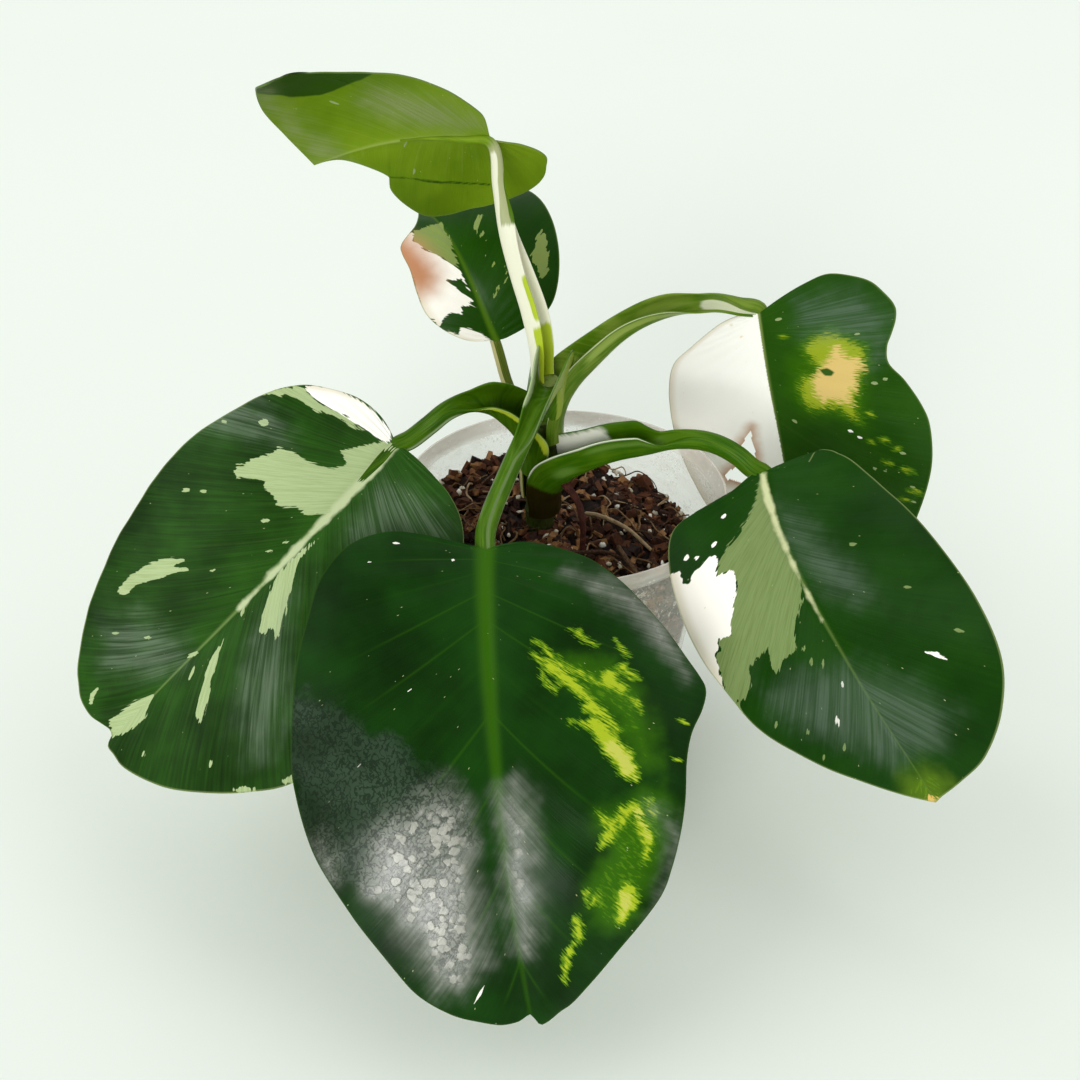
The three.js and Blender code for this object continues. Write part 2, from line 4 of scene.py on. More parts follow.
import logging
import math
import random
from dataclasses import dataclass
from enum import Enum

import bmesh
import bpy
import numpy as np
from mathutils import Euler, Matrix, Vector, noise


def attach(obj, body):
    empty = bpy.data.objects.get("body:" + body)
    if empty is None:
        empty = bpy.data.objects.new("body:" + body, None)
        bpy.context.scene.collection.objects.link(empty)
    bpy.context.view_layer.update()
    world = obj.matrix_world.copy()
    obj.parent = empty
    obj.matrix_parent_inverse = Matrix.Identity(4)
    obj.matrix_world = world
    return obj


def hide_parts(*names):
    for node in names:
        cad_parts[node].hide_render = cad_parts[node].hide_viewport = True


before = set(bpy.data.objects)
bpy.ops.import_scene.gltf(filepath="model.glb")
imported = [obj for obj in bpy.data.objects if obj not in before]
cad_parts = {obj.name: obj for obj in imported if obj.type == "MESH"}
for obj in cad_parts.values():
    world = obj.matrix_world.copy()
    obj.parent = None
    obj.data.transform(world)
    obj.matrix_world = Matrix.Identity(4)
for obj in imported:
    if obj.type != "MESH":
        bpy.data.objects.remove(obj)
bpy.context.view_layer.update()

BODY = "root"
MM = 0.001
FIRST_SPOKE = (0.3, 0.2, 1.0)
Array = np.ndarray
Form = bmesh.types.BMesh
Made = bpy.types.Object
Mesh = bpy.types.Mesh
Material = bpy.types.Material
Tree = bpy.types.NodeTree
Socket = bpy.types.NodeSocket
Pair = tuple[float, float]
Outline = list[Pair]
log = logging.getLogger("philodendron")


class Tone(Enum):
    """The colours and marks that a leaf wears over its green, and the sheens painted over it."""

    GLOW = "glow"
    LIME = "lime"
    SAGE = "sage"
    CREAM = "cream"
    RUST = "rust"
    TAN = "tan"
    DUSK = "dusk"
    # Leathery old skin, with a painted dull sheen over it.
    FROST = "frost"
    # A painted sheen: reflected light painted as a pale film.
    SHEEN = "sheen"


# Numbers, curves and fields. Lengths are millimetres until a mesh is written.


def ease(value: Array, low: float, high: float) -> Array:
    """Smooth step from 0 at low to 1 at high."""
    share = np.clip((np.asarray(value, float) - low) / (high - low), 0.0, 1.0)
    return share * share * (3.0 - 2.0 * share)


def unit(vectors: Array) -> Array:
    """The vectors scaled to length 1."""
    return vectors / np.linalg.norm(vectors, axis=-1, keepdims=True)


def between(a: Array, b: Array, share: Array) -> Array:
    """Linear blend from a to b."""
    return a + (b - a) * share


def own_seed(key: str, step: float) -> float:
    """The place in the noise that belongs to a leaf's letter."""
    return step * (ord(key) - ord("a") + 1)


class Curve:
    """A smooth line through space or a plane, read by the distance along it."""

    def __init__(self, samples: Array) -> None:
        """Measures the line.

        Args:
            samples: close points along it, one a row.
        """
        steps = np.linalg.norm(np.diff(samples, axis=0), axis=1)
        keep = np.concatenate([[True], steps > 1e-9])
        self.samples = samples[keep]
        self.reach = np.concatenate([[0.0], np.cumsum(steps[steps > 1e-9])])
        self.length = float(self.reach[-1])
        self.tangents = unit(np.gradient(self.samples, self.reach, axis=0))

    def at(self, distance: Array) -> Array:
        """The points at these distances."""
        return self._read(self.samples, distance)

    def ahead(self, distance: Array) -> Array:
        """The directions at these distances."""
        return unit(self._read(self.tangents, distance))

    def _read(self, rows: Array, distance: Array) -> Array:
        """The rows blended at these distances."""
        columns = [np.interp(distance, self.reach, rows[:, k]) for k in range(rows.shape[1])]
        return np.stack(columns, -1)


def bezier(points: list, count: int = 400) -> Curve:
    """A cubic Bezier curve.

    Args:
        points: its four control points.
        count: samples along it.

    Returns:
        The measured curve.
    """
    a, b, c, d = (np.array(p, float) for p in points)
    t = np.linspace(0.0, 1.0, count)[:, None]
    return Curve((1 - t) ** 3 * a + 3 * (1 - t) ** 2 * t * b + 3 * (1 - t) * t * t * c + t**3 * d)


def through(points: list | tuple, centripetal: bool = False, count: int = 24) -> Curve:
    """A smooth curve through points.

    Args:
        points: the points in order.
        centripetal: spaces the knots by distance, which suits uneven routes.
        count: samples between two points.

    Returns:
        The measured curve.
    """
    p = np.array(points, float)
    ends = (2 * p[0] - p[1], 2 * p[-1] - p[-2]) if centripetal else (p[0], p[-1])
    p = np.vstack([ends[0], p, ends[1]])
    t = np.linspace(0.0, 1.0, count, endpoint=False)[:, None]
    pieces = []
    for k in range(1, len(p) - 2):
        before, start, end, after = p[k - 1 : k + 3]
        if centripetal:
            d0, d1, d2 = (max(np.linalg.norm(v) ** 0.5, 1e-6) for v in (start - before, end - start, after - end))
            leave = ((start - before) / d0 - (end - before) / (d0 + d1) + (end - start) / d1) * d1
            arrive = ((end - start) / d1 - (after - start) / (d1 + d2) + (after - end) / d2) * d1
        else:
            leave, arrive = (end - before) / 2, (after - start) / 2
        cubic = 2 * start - 2 * end + leave + arrive
        square = -3 * start + 3 * end - 2 * leave - arrive
        pieces.append(cubic * t**3 + square * t * t + leave * t + start)
    return Curve(np.vstack([*pieces, p[-2:-1]]))


def depth_inside(points: Array, outline: Outline) -> Array:
    """How deep points lie inside a closed outline, negative outside it.

    Args:
        points: places in the flat leaf.
        outline: its corners.

    Returns:
        One signed distance a point.
    """
    corners = np.array(outline, float)
    best = np.full(len(points), 1e9)
    inside = np.zeros(len(points), bool)
    for start, end in zip(corners, np.roll(corners, -1, axis=0)):
        edge = end - start
        share = np.clip((points - start) @ edge / max(edge @ edge, 1e-9), 0.0, 1.0)
        best = np.minimum(best, np.linalg.norm(points - start - share[:, None] * edge, axis=1))
        crosses = (start[1] > points[:, 1]) != (end[1] > points[:, 1])
        slope = edge[0] / edge[1] if edge[1] else 0.0
        inside ^= crosses & (points[:, 0] < start[0] + slope * (points[:, 1] - start[1]))
    return np.where(inside, best, -best)


# Meshes and pieces.


def sheet_mesh(across: int, along: int) -> tuple[Form, Array, Array]:
    """A flat grid and each vertex's place in it.

    Args:
        across: faces across.
        along: faces along.

    Returns:
        The grid and the column and row number of each vertex.
    """
    grid = bmesh.new()
    bmesh.ops.create_grid(grid, x_segments=across, y_segments=along, size=1.0)
    place = np.array([v.co[:2] for v in grid.verts])
    columns = np.rint((place[:, 0] + 1) / 2 * across).astype(int)
    rows = np.rint((place[:, 1] + 1) / 2 * along).astype(int)
    return grid, columns, rows


def move(grid: Form, points: Array) -> None:
    """Moves the vertices to these points, given in millimetres."""
    for vertex, point in zip(grid.verts, points * MM):
        vertex.co = point


def store(mesh_form: Form, values: dict[str, Array]) -> None:
    """Keeps a number or a vector for each vertex as a named attribute.

    Args:
        mesh_form: the form.
        values: a row for each vertex, by the attribute's name.
    """
    for name, rows in values.items():
        if rows.ndim == 1:
            layer = mesh_form.verts.layers.float.new(name)
            for vertex, value in zip(mesh_form.verts, rows):
                vertex[layer] = float(value)
        else:
            layer = mesh_form.verts.layers.float_vector.new(name)
            for vertex, value in zip(mesh_form.verts, rows):
                vertex[layer] = Vector(value)


def outward(mesh_form: Form) -> None:
    """Turns the faces of a closed form outwards.

    Args:
        mesh_form: the form.
    """
    bmesh.ops.recalc_face_normals(mesh_form, faces=mesh_form.faces)
    if mesh_form.calc_volume(signed=True) < 0:
        bmesh.ops.reverse_faces(mesh_form, faces=mesh_form.faces)


def sharpen(mesh_form: Form, degrees: float) -> None:
    """Shades a form smoothly, except over its sharp edges.

    Args:
        mesh_form: the form.
        degrees: from which angle an edge is sharp.
    """
    limit = math.radians(degrees)
    for edge in mesh_form.edges:
        edge.smooth = edge.calc_face_angle(0.0) < limit
    for face in mesh_form.faces:
        face.smooth = True


def mesh_of(name: str, mesh_form: Form) -> Mesh:
    """Makes a form a mesh.

    Args:
        name: the mesh's name.
        mesh_form: its form, which is used up.

    Returns:
        The mesh.
    """
    mesh = bpy.data.meshes.new(name)
    mesh_form.to_mesh(mesh)
    mesh_form.free()
    return mesh


def linked(name: str, data: bpy.types.ID) -> Made:
    """Puts a mesh, a lamp or a camera into the scene.

    Args:
        name: the object's name.
        data: what it shows.

    Returns:
        The object.
    """
    made = bpy.data.objects.new(name, data)
    bpy.context.scene.collection.objects.link(made)
    return made


def piece(name: str, mesh_form: Form, materials: list, node: str) -> Made:
    """Makes a finished form a piece of the object.

    Args:
        name: the piece's name.
        mesh_form: its form, in metres in the part's frame, which is used up.
        materials: one for each material index.
        node: the solid that it stands for.

    Returns:
        The piece.
    """
    made = linked(name, mesh_of(name, mesh_form))
    for material in materials:
        made.data.materials.append(material)
    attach(made, BODY)
    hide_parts(node)
    log.info("%s: %d faces", name, len(made.data.polygons))
    return made


# Materials.

ATTRIBUTE, MATH, RANGE = "ShaderNodeAttribute", "ShaderNodeMath", "ShaderNodeMapRange"
SMOOTH = {"interpolation_type": "SMOOTHSTEP"}
SCALED, TIMES = {"operation": "MULTIPLY_ADD"}, {"operation": "MULTIPLY"}


def linear(code: str) -> tuple[float, float, float, float]:
    """Turns a colour to linear light.

    Args:
        code: the colour as sRGB hex.

    Returns:
        Red, green, blue and a full cover.
    """
    parts = [int(code[k : k + 2], 16) / 255 for k in (1, 3, 5)]
    red, green, blue = (v / 12.92 if v <= 0.04045 else ((v + 0.055) / 1.055) ** 2.4 for v in parts)
    return red, green, blue, 1.0


def add(tree: Tree, kind: str, inputs: dict | None = None, out: int | str = 0, **settings: object) -> Socket:
    """Adds a node with its settings and links.

    Args:
        tree: the material's nodes.
        kind: the node's type.
        inputs: a value or another node's output for each input.
        out: the output to hand back.
        **settings: the node's own properties.

    Returns:
        That output.
    """
    made = tree.nodes.new(kind)
    for name, value in settings.items():
        setattr(made, name, value)
    for key, value in (inputs or {}).items():
        if isinstance(value, Socket):
            tree.links.new(value, made.inputs[key])
        else:
            made.inputs[key].default_value = value
    return made.outputs[out]


def dressed(name: str, **shader: float) -> tuple[Material, Tree, bpy.types.Node]:
    """Starts a material whose shader has these fixed values.

    Args:
        name: the finish's name.
        **shader: socket values, with _ for a space.

    Returns:
        The material, its nodes and its shader.
    """
    made = bpy.data.materials.new(name)
    made.use_nodes = True
    surface = made.node_tree.nodes["Principled BSDF"]
    for socket, value in shader.items():
        surface.inputs[socket.replace("_", " ")].default_value = value
    return made, made.node_tree, surface


def grain(tree: Tree, place: Socket, size: tuple, detail: float) -> Socket:
    """A soft random pattern with this size in each direction.

    Args:
        tree: the material's nodes.
        place: coordinates, in the unit of the size.
        size: the pattern's size along each axis.
        detail: how many finer steps it has.

    Returns:
        A value around 0.5.
    """
    scale = tuple(1.0 / s for s in size)
    moved = add(tree, "ShaderNodeMapping", {"Vector": place, "Scale": scale})
    return add(tree, "ShaderNodeTexNoise", {"Vector": moved, "Scale": 1.0, "Detail": detail})


def layered(tree: Tree, ground: object, layers: list) -> Socket:
    """Lays colours over each other.

    Args:
        tree: the material's nodes.
        ground: the lowest colour.
        layers: for each layer the value that shows it, the values at which it starts and is full,
            its cover when full and its colour.

    Returns:
        The top colour.
    """
    for value, start, full, cover, colour in layers:
        limits = {0: value, 1: start, 2: full, 3: 0.0, 4: cover}
        mask = add(tree, RANGE, limits, **SMOOTH)
        ground = add(tree, "ShaderNodeMix", {0: mask, 6: ground, 7: colour}, 2, data_type="RGBA")
    return ground


@dataclass(frozen=True)
class LeafFinish:
    """Living leaf blade: a waxy skin over green cells, with its veins pressed in and pale sectors
    that have no green; its soft sheen is painted, a pale film of reflected light brushed along the veins."""

    name: str
    deep: str
    fresh: str
    rib: str
    veining: float = 0.3
    roughness: float = 0.3
    cells: float = 0.0
    soft: float = 1.0
    sheen_cover: float = 0.5
    brushed: float = 0.45
    ragged: float = 1.0
    blush: float = 3.0
    fray: float = 11.0
    edge: str = "#6f8444"
    sage: str = "#97a874"
    shaded_sage: str = "#74885a"
    cream: str = "#f6f2e8"
    lime: str = "#a9bc1c"
    faint: str = "#5f8416"
    glow: str = "#2f5d04"
    rust: str = "#b06a3e"
    tan: str = "#d3b160"
    dusk: str = "#2c560c"
    sheen: str = "#8b9086"
    warm_margin: str = "#d9cdb2"
    speck: str = "#b9c088"
    leather_and_dull_sheen: str = "#465148"
    crease: str = "#0a1a0a"
    seam: str = "#3a3f35"
    blister_glint: str = "#c2c0b4"

    def material(self) -> Material:
        """Builds the material.

        Returns:
            The blade's material, which reads the attributes of the blade's mesh.
        """
        made, tree, surface = dressed(self.name, Specular_IOR_Level=0.07, Coat_Roughness=0.3)
        flat, vein = (add(tree, ATTRIBUTE, out="Vector", attribute_name=name) for name in ("flat", "vein"))
        margin, rib_core, lines, near_rib = (
            add(tree, ATTRIBUTE, out="Fac", attribute_name=name) for name in ("margin", "rib", "lines", "near")
        )
        streak = grain(tree, vein, (1.1, 30.0, 9.0), 3.0)
        broad = grain(tree, vein, (5.0, 40.0, 9.0), 2.0)
        fibre = grain(tree, vein, (0.5, 9.0, 9.0), 2.0)
        cloud = grain(tree, flat, (24.0, 24.0, 9.0), 3.0)
        rag = grain(tree, vein, (1.5, 6.0, 9.0), 3.0)
        grit = grain(tree, vein, (0.8, 3.2, 9.0), 3.0)
        wander = grain(tree, flat, (8.0, 8.0, 9.0), 3.0)

        def depth(tone: Tone, pattern: Socket, wobble: float) -> Socket:
            """How deep in a tone a place lies, in millimetres.

            Args:
                tone: the tone.
                pattern: what moves its border.
                wobble: how far.

            Returns:
                The depth, negative outside the tone.
            """
            field = add(tree, ATTRIBUTE, out="Fac", attribute_name=tone.value)
            centred = add(tree, MATH, {0: pattern, 1: 0.5}, operation="SUBTRACT")
            return add(tree, MATH, {0: centred, 1: wobble, 2: field}, **SCALED)

        # The green, in streaks along the veins and lighter near the rib.
        lowered = add(tree, MATH, {0: cloud, 1: 1.3, 2: -0.65 - self.veining}, **SCALED)
        bright = add(tree, MATH, {0: streak, 1: 2 * self.veining, 2: lowered}, **SCALED)
        bright = add(tree, MATH, {0: near_rib, 1: 0.45, 2: bright}, **SCALED)
        # Light green that glows through and lime flows that fray into strokes.
        glow = depth(Tone.GLOW, wander, 10.0)
        stroke = grain(tree, vein, (0.6, 3.4, 9.0), 4.0)
        lime = depth(Tone.LIME, stroke, self.fray)
        glowing = add(tree, RANGE, {0: glow, 1: -5.0, 2: 5.0}, **SMOOTH)
        strokes = add(tree, MATH, {0: glowing, 1: grit}, **TIMES)
        # Small pale specks in patches.
        speck = add(tree, "ShaderNodeMapping", {"Vector": vein, "Scale": (1 / 2.4, 1 / 4.6, 1.0)})
        specks = add(tree, "ShaderNodeTexVoronoi", {"Vector": speck, "Scale": 1.0})
        specks = add(tree, RANGE, {0: specks, 1: 0.09, 2: 0.05}, **SMOOTH)
        sparse = grain(tree, vein, (5.0, 8.0, 9.0), 2.0)
        sparse = add(tree, RANGE, {0: sparse, 1: 0.54, 2: 0.58}, **SMOOTH)
        specks = add(tree, MATH, {0: specks, 1: sparse}, **TIMES)
        # Painted sheen: the sky's reflection on the wax, painted as a pale film brushed along the veins.
        sheen = depth(Tone.SHEEN, wander, 10.0)
        shine = add(tree, RANGE, {0: sheen, 1: -7.0, 2: 8.0, 4: self.sheen_cover}, **SMOOTH)
        brushing = add(tree, MATH, {0: broad, 1: 0.8, 2: streak}, **SCALED)
        patchy = add(tree, RANGE, {0: brushing, 1: 0.7, 2: 1.1, 3: 1 - self.brushed}, **SMOOTH)
        painted_sheen = add(tree, MATH, {0: patchy, 1: shine}, **TIMES)
        rise = add(tree, MATH, {0: streak, 1: 3.0 * self.veining, 2: fibre}, **SCALED)
        skin_and_sheen_layers = []
        if self.cells:
            # Old skin: leathery and blistered, with a painted dull sheen over the leather, painted shade in its
            # creases, and in the sheen's core painted highlights on the blisters with darker seams between them.
            old = depth(Tone.FROST, wander, 16.0)
            leather_and_dull_sheen = add(tree, RANGE, {0: old, 1: -6.0, 2: 6.0}, **SMOOTH)
            place = add(tree, "ShaderNodeMapping", {"Vector": flat, "Scale": (0.5, 0.5, 1.0)})
            swirl = add(tree, "ShaderNodeTexNoise", {"Vector": place, "Scale": 1.0}, "Color")
            bent = add(tree, "ShaderNodeVectorMath", {0: swirl, 1: (2.2, 2.2, 0.0), 2: flat}, **SCALED)
            ridge = grain(tree, bent, (1.7, 2.1, 9.0), 2.0)
            ridge = add(tree, MATH, {0: ridge, 1: 0.5}, operation="SUBTRACT")
            ridge = add(tree, MATH, {0: ridge}, operation="ABSOLUTE")
            crease = add(tree, RANGE, {0: ridge, 1: 0.09, 2: 0.0}, **SMOOTH)
            spread = add(tree, "ShaderNodeMapping", {"Vector": bent, "Scale": (0.36, 0.36, 1.0)})
            cell = {"Vector": spread, "Scale": 1.0}
            border = add(tree, "ShaderNodeTexVoronoi", cell, feature="DISTANCE_TO_EDGE")
            middle = add(tree, "ShaderNodeTexVoronoi", cell)
            seam = add(tree, RANGE, {0: border, 1: 0.1, 2: 0.02}, **SMOOTH)
            dome = add(tree, RANGE, {0: middle, 1: 0.6, 2: 0.42}, **SMOOTH)
            crowd = grain(tree, flat, (10.0, 10.0, 9.0), 2.0)
            own = add(tree, "ShaderNodeTexVoronoi", cell, "Color")
            lit = add(tree, MATH, {0: crowd, 1: 1.6, 2: own}, **SCALED)
            lit = add(tree, RANGE, {0: lit, 1: 1.05, 2: 1.45, 3: 0.2}, **SMOOTH)
            sheen_core = add(tree, RANGE, {0: sheen, 1: 0.0, 2: 9.0, 4: self.cells}, **SMOOTH)
            glinting_blisters = add(tree, MATH, {0: dome, 1: lit}, **TIMES)
            glinting_blisters = add(tree, MATH, {0: glinting_blisters, 1: sheen_core}, **TIMES)
            sheen_and_leather = add(tree, MATH, {0: sheen_core, 1: leather_and_dull_sheen}, operation="MAXIMUM")
            dark = add(tree, MATH, {0: crease, 1: sheen_and_leather}, **TIMES)
            sheen_seams = add(tree, MATH, {0: seam, 1: sheen_core}, **TIMES)
            patchy_dull_sheen = add(tree, MATH, {0: leather_and_dull_sheen, 1: cloud}, **TIMES)
            rise = add(tree, MATH, {0: glinting_blisters, 1: 2.0, 2: rise}, **SCALED)
            tree.links.new(sheen_core, surface.inputs["Coat Weight"])
            skin_and_sheen_layers = [
                (patchy_dull_sheen, 0.18, 0.7, 0.55, linear(self.leather_and_dull_sheen)),
                (painted_sheen, 0.0, 1.0, 1.0, linear(self.sheen)),
                (dark, 0.0, 1.0, 0.65, linear(self.crease)),
                (sheen_seams, 0.0, 1.0, 0.45, linear(self.seam)),
                (glinting_blisters, 0.0, 1.0, 0.55, linear(self.blister_glint)),
            ]
        threads = add(tree, MATH, {0: streak, 1: 0.8, 2: fibre}, **SCALED)
        veined_sage = layered(tree, linear(self.sage), [(threads, 0.75, 1.15, 0.55, linear(self.shaded_sage))])
        warmed_cream = layered(tree, linear(self.cream), [(margin, 6.0, 0.4, 0.6, linear(self.warm_margin))])
        colour = layered(
            tree,
            linear(self.deep),
            [
                (bright, -0.4, 0.7, 1.0, linear(self.fresh)),
                (glow, -5.0, 5.0, 1.0, linear(self.glow)),
                (lines, 0.0, 1.0, 1.0, linear(self.rib)),
                (rib_core, 0.0, 1.0, 1.0, linear(self.rib)),
                (strokes, 0.5, 0.62, 0.55, linear(self.faint)),
                (lime, -1.0 * self.soft, -0.4, 0.8, linear(self.faint)),
                (lime, -0.3, 0.8 * self.soft, 1.0, linear(self.lime)),
                (depth(Tone.SAGE, rag, 4.0 * self.ragged), -0.12, 0.12, 1.0, veined_sage),
                (depth(Tone.CREAM, rag, 3.0 * self.ragged), -0.12, 0.12, 1.0, warmed_cream),
                (depth(Tone.RUST, wander, 4.0), -self.blush, self.blush, 1.0, linear(self.rust)),
                (depth(Tone.TAN, stroke, self.fray + 1.0), 0.0, 1.2 * self.soft, 1.0, linear(self.tan)),
                (depth(Tone.DUSK, wander, 1.5), -0.4, 0.4, 1.0, linear(self.dusk)),
                (specks, 0.0, 1.0, 0.7, linear(self.speck)),
                *(skin_and_sheen_layers or [(painted_sheen, 0.0, 1.0, 1.0, linear(self.sheen))]),
                (margin, 0.8, 0.2, 0.5, linear(self.edge)),
            ],
        )
        tree.links.new(colour, surface.inputs["Base Color"])
        polish = add(tree, MATH, {0: wander, 1: 0.16, 2: self.roughness - 0.08}, **SCALED)
        tree.links.new(polish, surface.inputs["Roughness"])
        bump = add(tree, "ShaderNodeBump", {"Height": rise, "Strength": 0.4, "Distance": 0.12 * MM})
        tree.links.new(bump, surface.inputs["Normal"])
        tree.links.new(bump, surface.inputs["Coat Normal"])
        return made


@dataclass(frozen=True)
class StalkFinish:
    """Fresh leaf stalk: smooth, juicy green tissue with fine lengthwise fibres and thin pale wing
    edges; it is glossier than the blade, and its long streaks of light are painted highlights."""

    name: str
    deep: str
    fresh: str
    pale: str = "#dfe0bd"
    lime: str = "#b4c331"
    painted_light: str = "#93aa84"
    scar: str = "#5a3c22"
    roughness: float = 0.34

    def material(self) -> Material:
        """Builds the material.

        Returns:
            The stalk's material, which reads the attributes of the stalk's mesh.
        """
        made, tree, surface = dressed(self.name, Roughness=self.roughness, Specular_IOR_Level=0.1)
        skin = add(tree, ATTRIBUTE, out="Vector", attribute_name="skin")
        fibre = grain(tree, skin, (0.6, 14.0, 9.0), 3.0)
        cloud = grain(tree, skin, (5.0, 16.0, 9.0), 2.0)
        mixed = add(tree, MATH, {0: cloud, 1: 1.4, 2: fibre}, **SCALED)
        layers = [(mixed, 0.9, 1.5, 1.0, linear(self.fresh))]
        crisp = (0.55, 0.95)
        # Stripe tones over the green; the pale streaks of light are painted highlights, and the cream stalk's upper
        # part is greyed by painted shade.
        tones = {"painted_light": (0.3, 1.2), "pale": crisp, "lime": crisp, "scar": crisp}
        for name, limits in tones.items():
            field = add(tree, ATTRIBUTE, out="Fac", attribute_name=name)
            shifted = add(tree, MATH, {0: fibre, 1: 0.5, 2: field}, **SCALED)
            layers.append((shifted, *limits, 1.0, linear(getattr(self, name))))
        tree.links.new(layered(tree, linear(self.deep), layers), surface.inputs["Base Color"])
        bump = add(tree, "ShaderNodeBump", {"Height": fibre, "Strength": 0.3, "Distance": 0.1 * MM})
        tree.links.new(bump, surface.inputs["Normal"])
        return made


@dataclass(frozen=True)
class FibreFinish:
    """Dry plant matter such as fir bark, coir, papery scale and corky root: dull and fibrous,
    with a tint of its own for each piece, dark where it is damp."""

    name: str
    dark: str
    light: str
    accent: str
    size: tuple
    roughness: float = 0.85
    relief: float = 0.5

    def material(self) -> Material:
        """Builds the material.

        Returns:
            A material that reads the attribute tint, from 0 to 1, and the place on the piece.
        """
        made, tree, surface = dressed(self.name, Roughness=self.roughness, Specular_IOR_Level=0.3)
        place = add(tree, "ShaderNodeTexCoord", out="Object")
        tint = add(tree, ATTRIBUTE, out="Fac", attribute_name="tint")
        size = tuple(s * MM for s in self.size)
        fibre = grain(tree, place, size, 4.0)
        coarse = grain(tree, place, tuple(4 * s for s in size), 2.0)
        blend = add(tree, MATH, {0: tint, 1: 1.1, 2: fibre}, **SCALED)
        odd = add(tree, MATH, {0: tint, 1: coarse})
        layers = [(blend, 0.45, 1.35, 1.0, linear(self.light)), (odd, 1.2, 1.5, 1.0, linear(self.accent))]
        tree.links.new(layered(tree, linear(self.dark), layers), surface.inputs["Base Color"])
        bump = add(tree, "ShaderNodeBump", {"Height": fibre, "Strength": self.relief, "Distance": 0.4 * MM})
        tree.links.new(bump, surface.inputs["Normal"])
        return made


@dataclass(frozen=True)
class ClearPlasticFinish:
    """Thin thermoformed clear plastic, as on nursery pots: glossy, slightly smoky where it is
    looked along, hazed by fine scuffs and by mist inside, and denser in its folded rim."""

    name: str
    haze: float = 0.1
    roughness: float = 0.16
    plastic: str = "#efe5d8"
    misted: str = "#fdf8f0"
    rim_from: float = 98.5
    rim_full: float = 100.0

    def material(self) -> Material:
        """Builds the material.

        Returns:
            A see-through material that reads the place on the pot.
        """
        made, tree, surface = dressed(self.name, Specular_IOR_Level=0.6, IOR=1.49)
        place = add(tree, "ShaderNodeTexCoord", out="Object")
        level = add(tree, "ShaderNodeSeparateXYZ", {0: place}, "Z")
        scuff = grain(tree, place, (7 * MM, 7 * MM, 3 * MM), 5.0)
        mist = grain(tree, place, (16 * MM, 16 * MM, 10 * MM), 3.0)
        spread = add(tree, "ShaderNodeMapping", {"Vector": place, "Scale": (1 / (2.2 * MM),) * 3})
        beads = add(tree, "ShaderNodeTexVoronoi", {"Vector": spread, "Scale": 1.0})
        beads = add(tree, RANGE, {0: beads, 1: 0.28, 2: 0.16, 4: 0.3}, **SMOOTH)
        misty = add(tree, RANGE, {0: mist, 1: 0.45, 2: 0.65}, **SMOOTH)
        beads = add(tree, MATH, {0: beads, 1: misty}, **TIMES)
        facing = add(tree, "ShaderNodeLayerWeight", {"Blend": 0.35}, "Facing")
        rim = add(tree, RANGE, {0: level, 1: self.rim_from * MM, 2: self.rim_full * MM, 4: 0.4}, **SMOOTH)
        scuffed = add(tree, RANGE, {0: scuff, 1: 0.5, 2: 0.75, 3: self.haze, 4: self.haze + 0.14}, **SMOOTH)
        cover = add(tree, MATH, {0: facing, 1: 0.25, 2: scuffed}, **SCALED)
        cover = add(tree, MATH, {0: cover, 1: rim})
        cover = add(tree, MATH, {0: cover, 1: beads}, operation="ADD", use_clamp=True)
        tree.links.new(cover, surface.inputs["Alpha"])
        layers = [(mist, 0.4, 0.7, 1.0, linear(self.misted))]
        tree.links.new(layered(tree, linear(self.plastic), layers), surface.inputs["Base Color"])
        polish = add(tree, MATH, {0: scuff, 1: 0.22, 2: self.roughness - 0.08}, **SCALED)
        tree.links.new(polish, surface.inputs["Roughness"])
        return made


@dataclass(frozen=True)
class FloorFinish:
    """Matt painted board, pale and even, with a faint mottle."""

    name: str
    colour: str
    mottled: str = "#ebf1e9"

    def material(self) -> Material:
        """Builds the material.

        Returns:
            The floor's material.
        """
        made, tree, surface = dressed(self.name, Roughness=0.9, Specular_IOR_Level=0.1)
        place = add(tree, "ShaderNodeTexCoord", out="Object")
        mottle = grain(tree, place, (0.4, 0.4, 0.4), 2.0)
        tone = layered(tree, linear(self.colour), [(mottle, 0.3, 0.7, 0.25, linear(self.mottled))])
        tree.links.new(tone, surface.inputs["Base Color"])
        return made


# The leaves.


@dataclass(frozen=True)
class LeafForm:
    """A leaf's form: its midrib's four control points, how its upper side faces at both ends, the
    rise and the curl of its halves (left and right, at the base and at the tip, in degrees and in
    degrees per 100 mm), the curl of its back lobes and its flat outline on both sides."""

    midrib: list
    facing: list
    rise: list
    curl: list
    lobe_curl: float
    right: Outline
    left: Outline


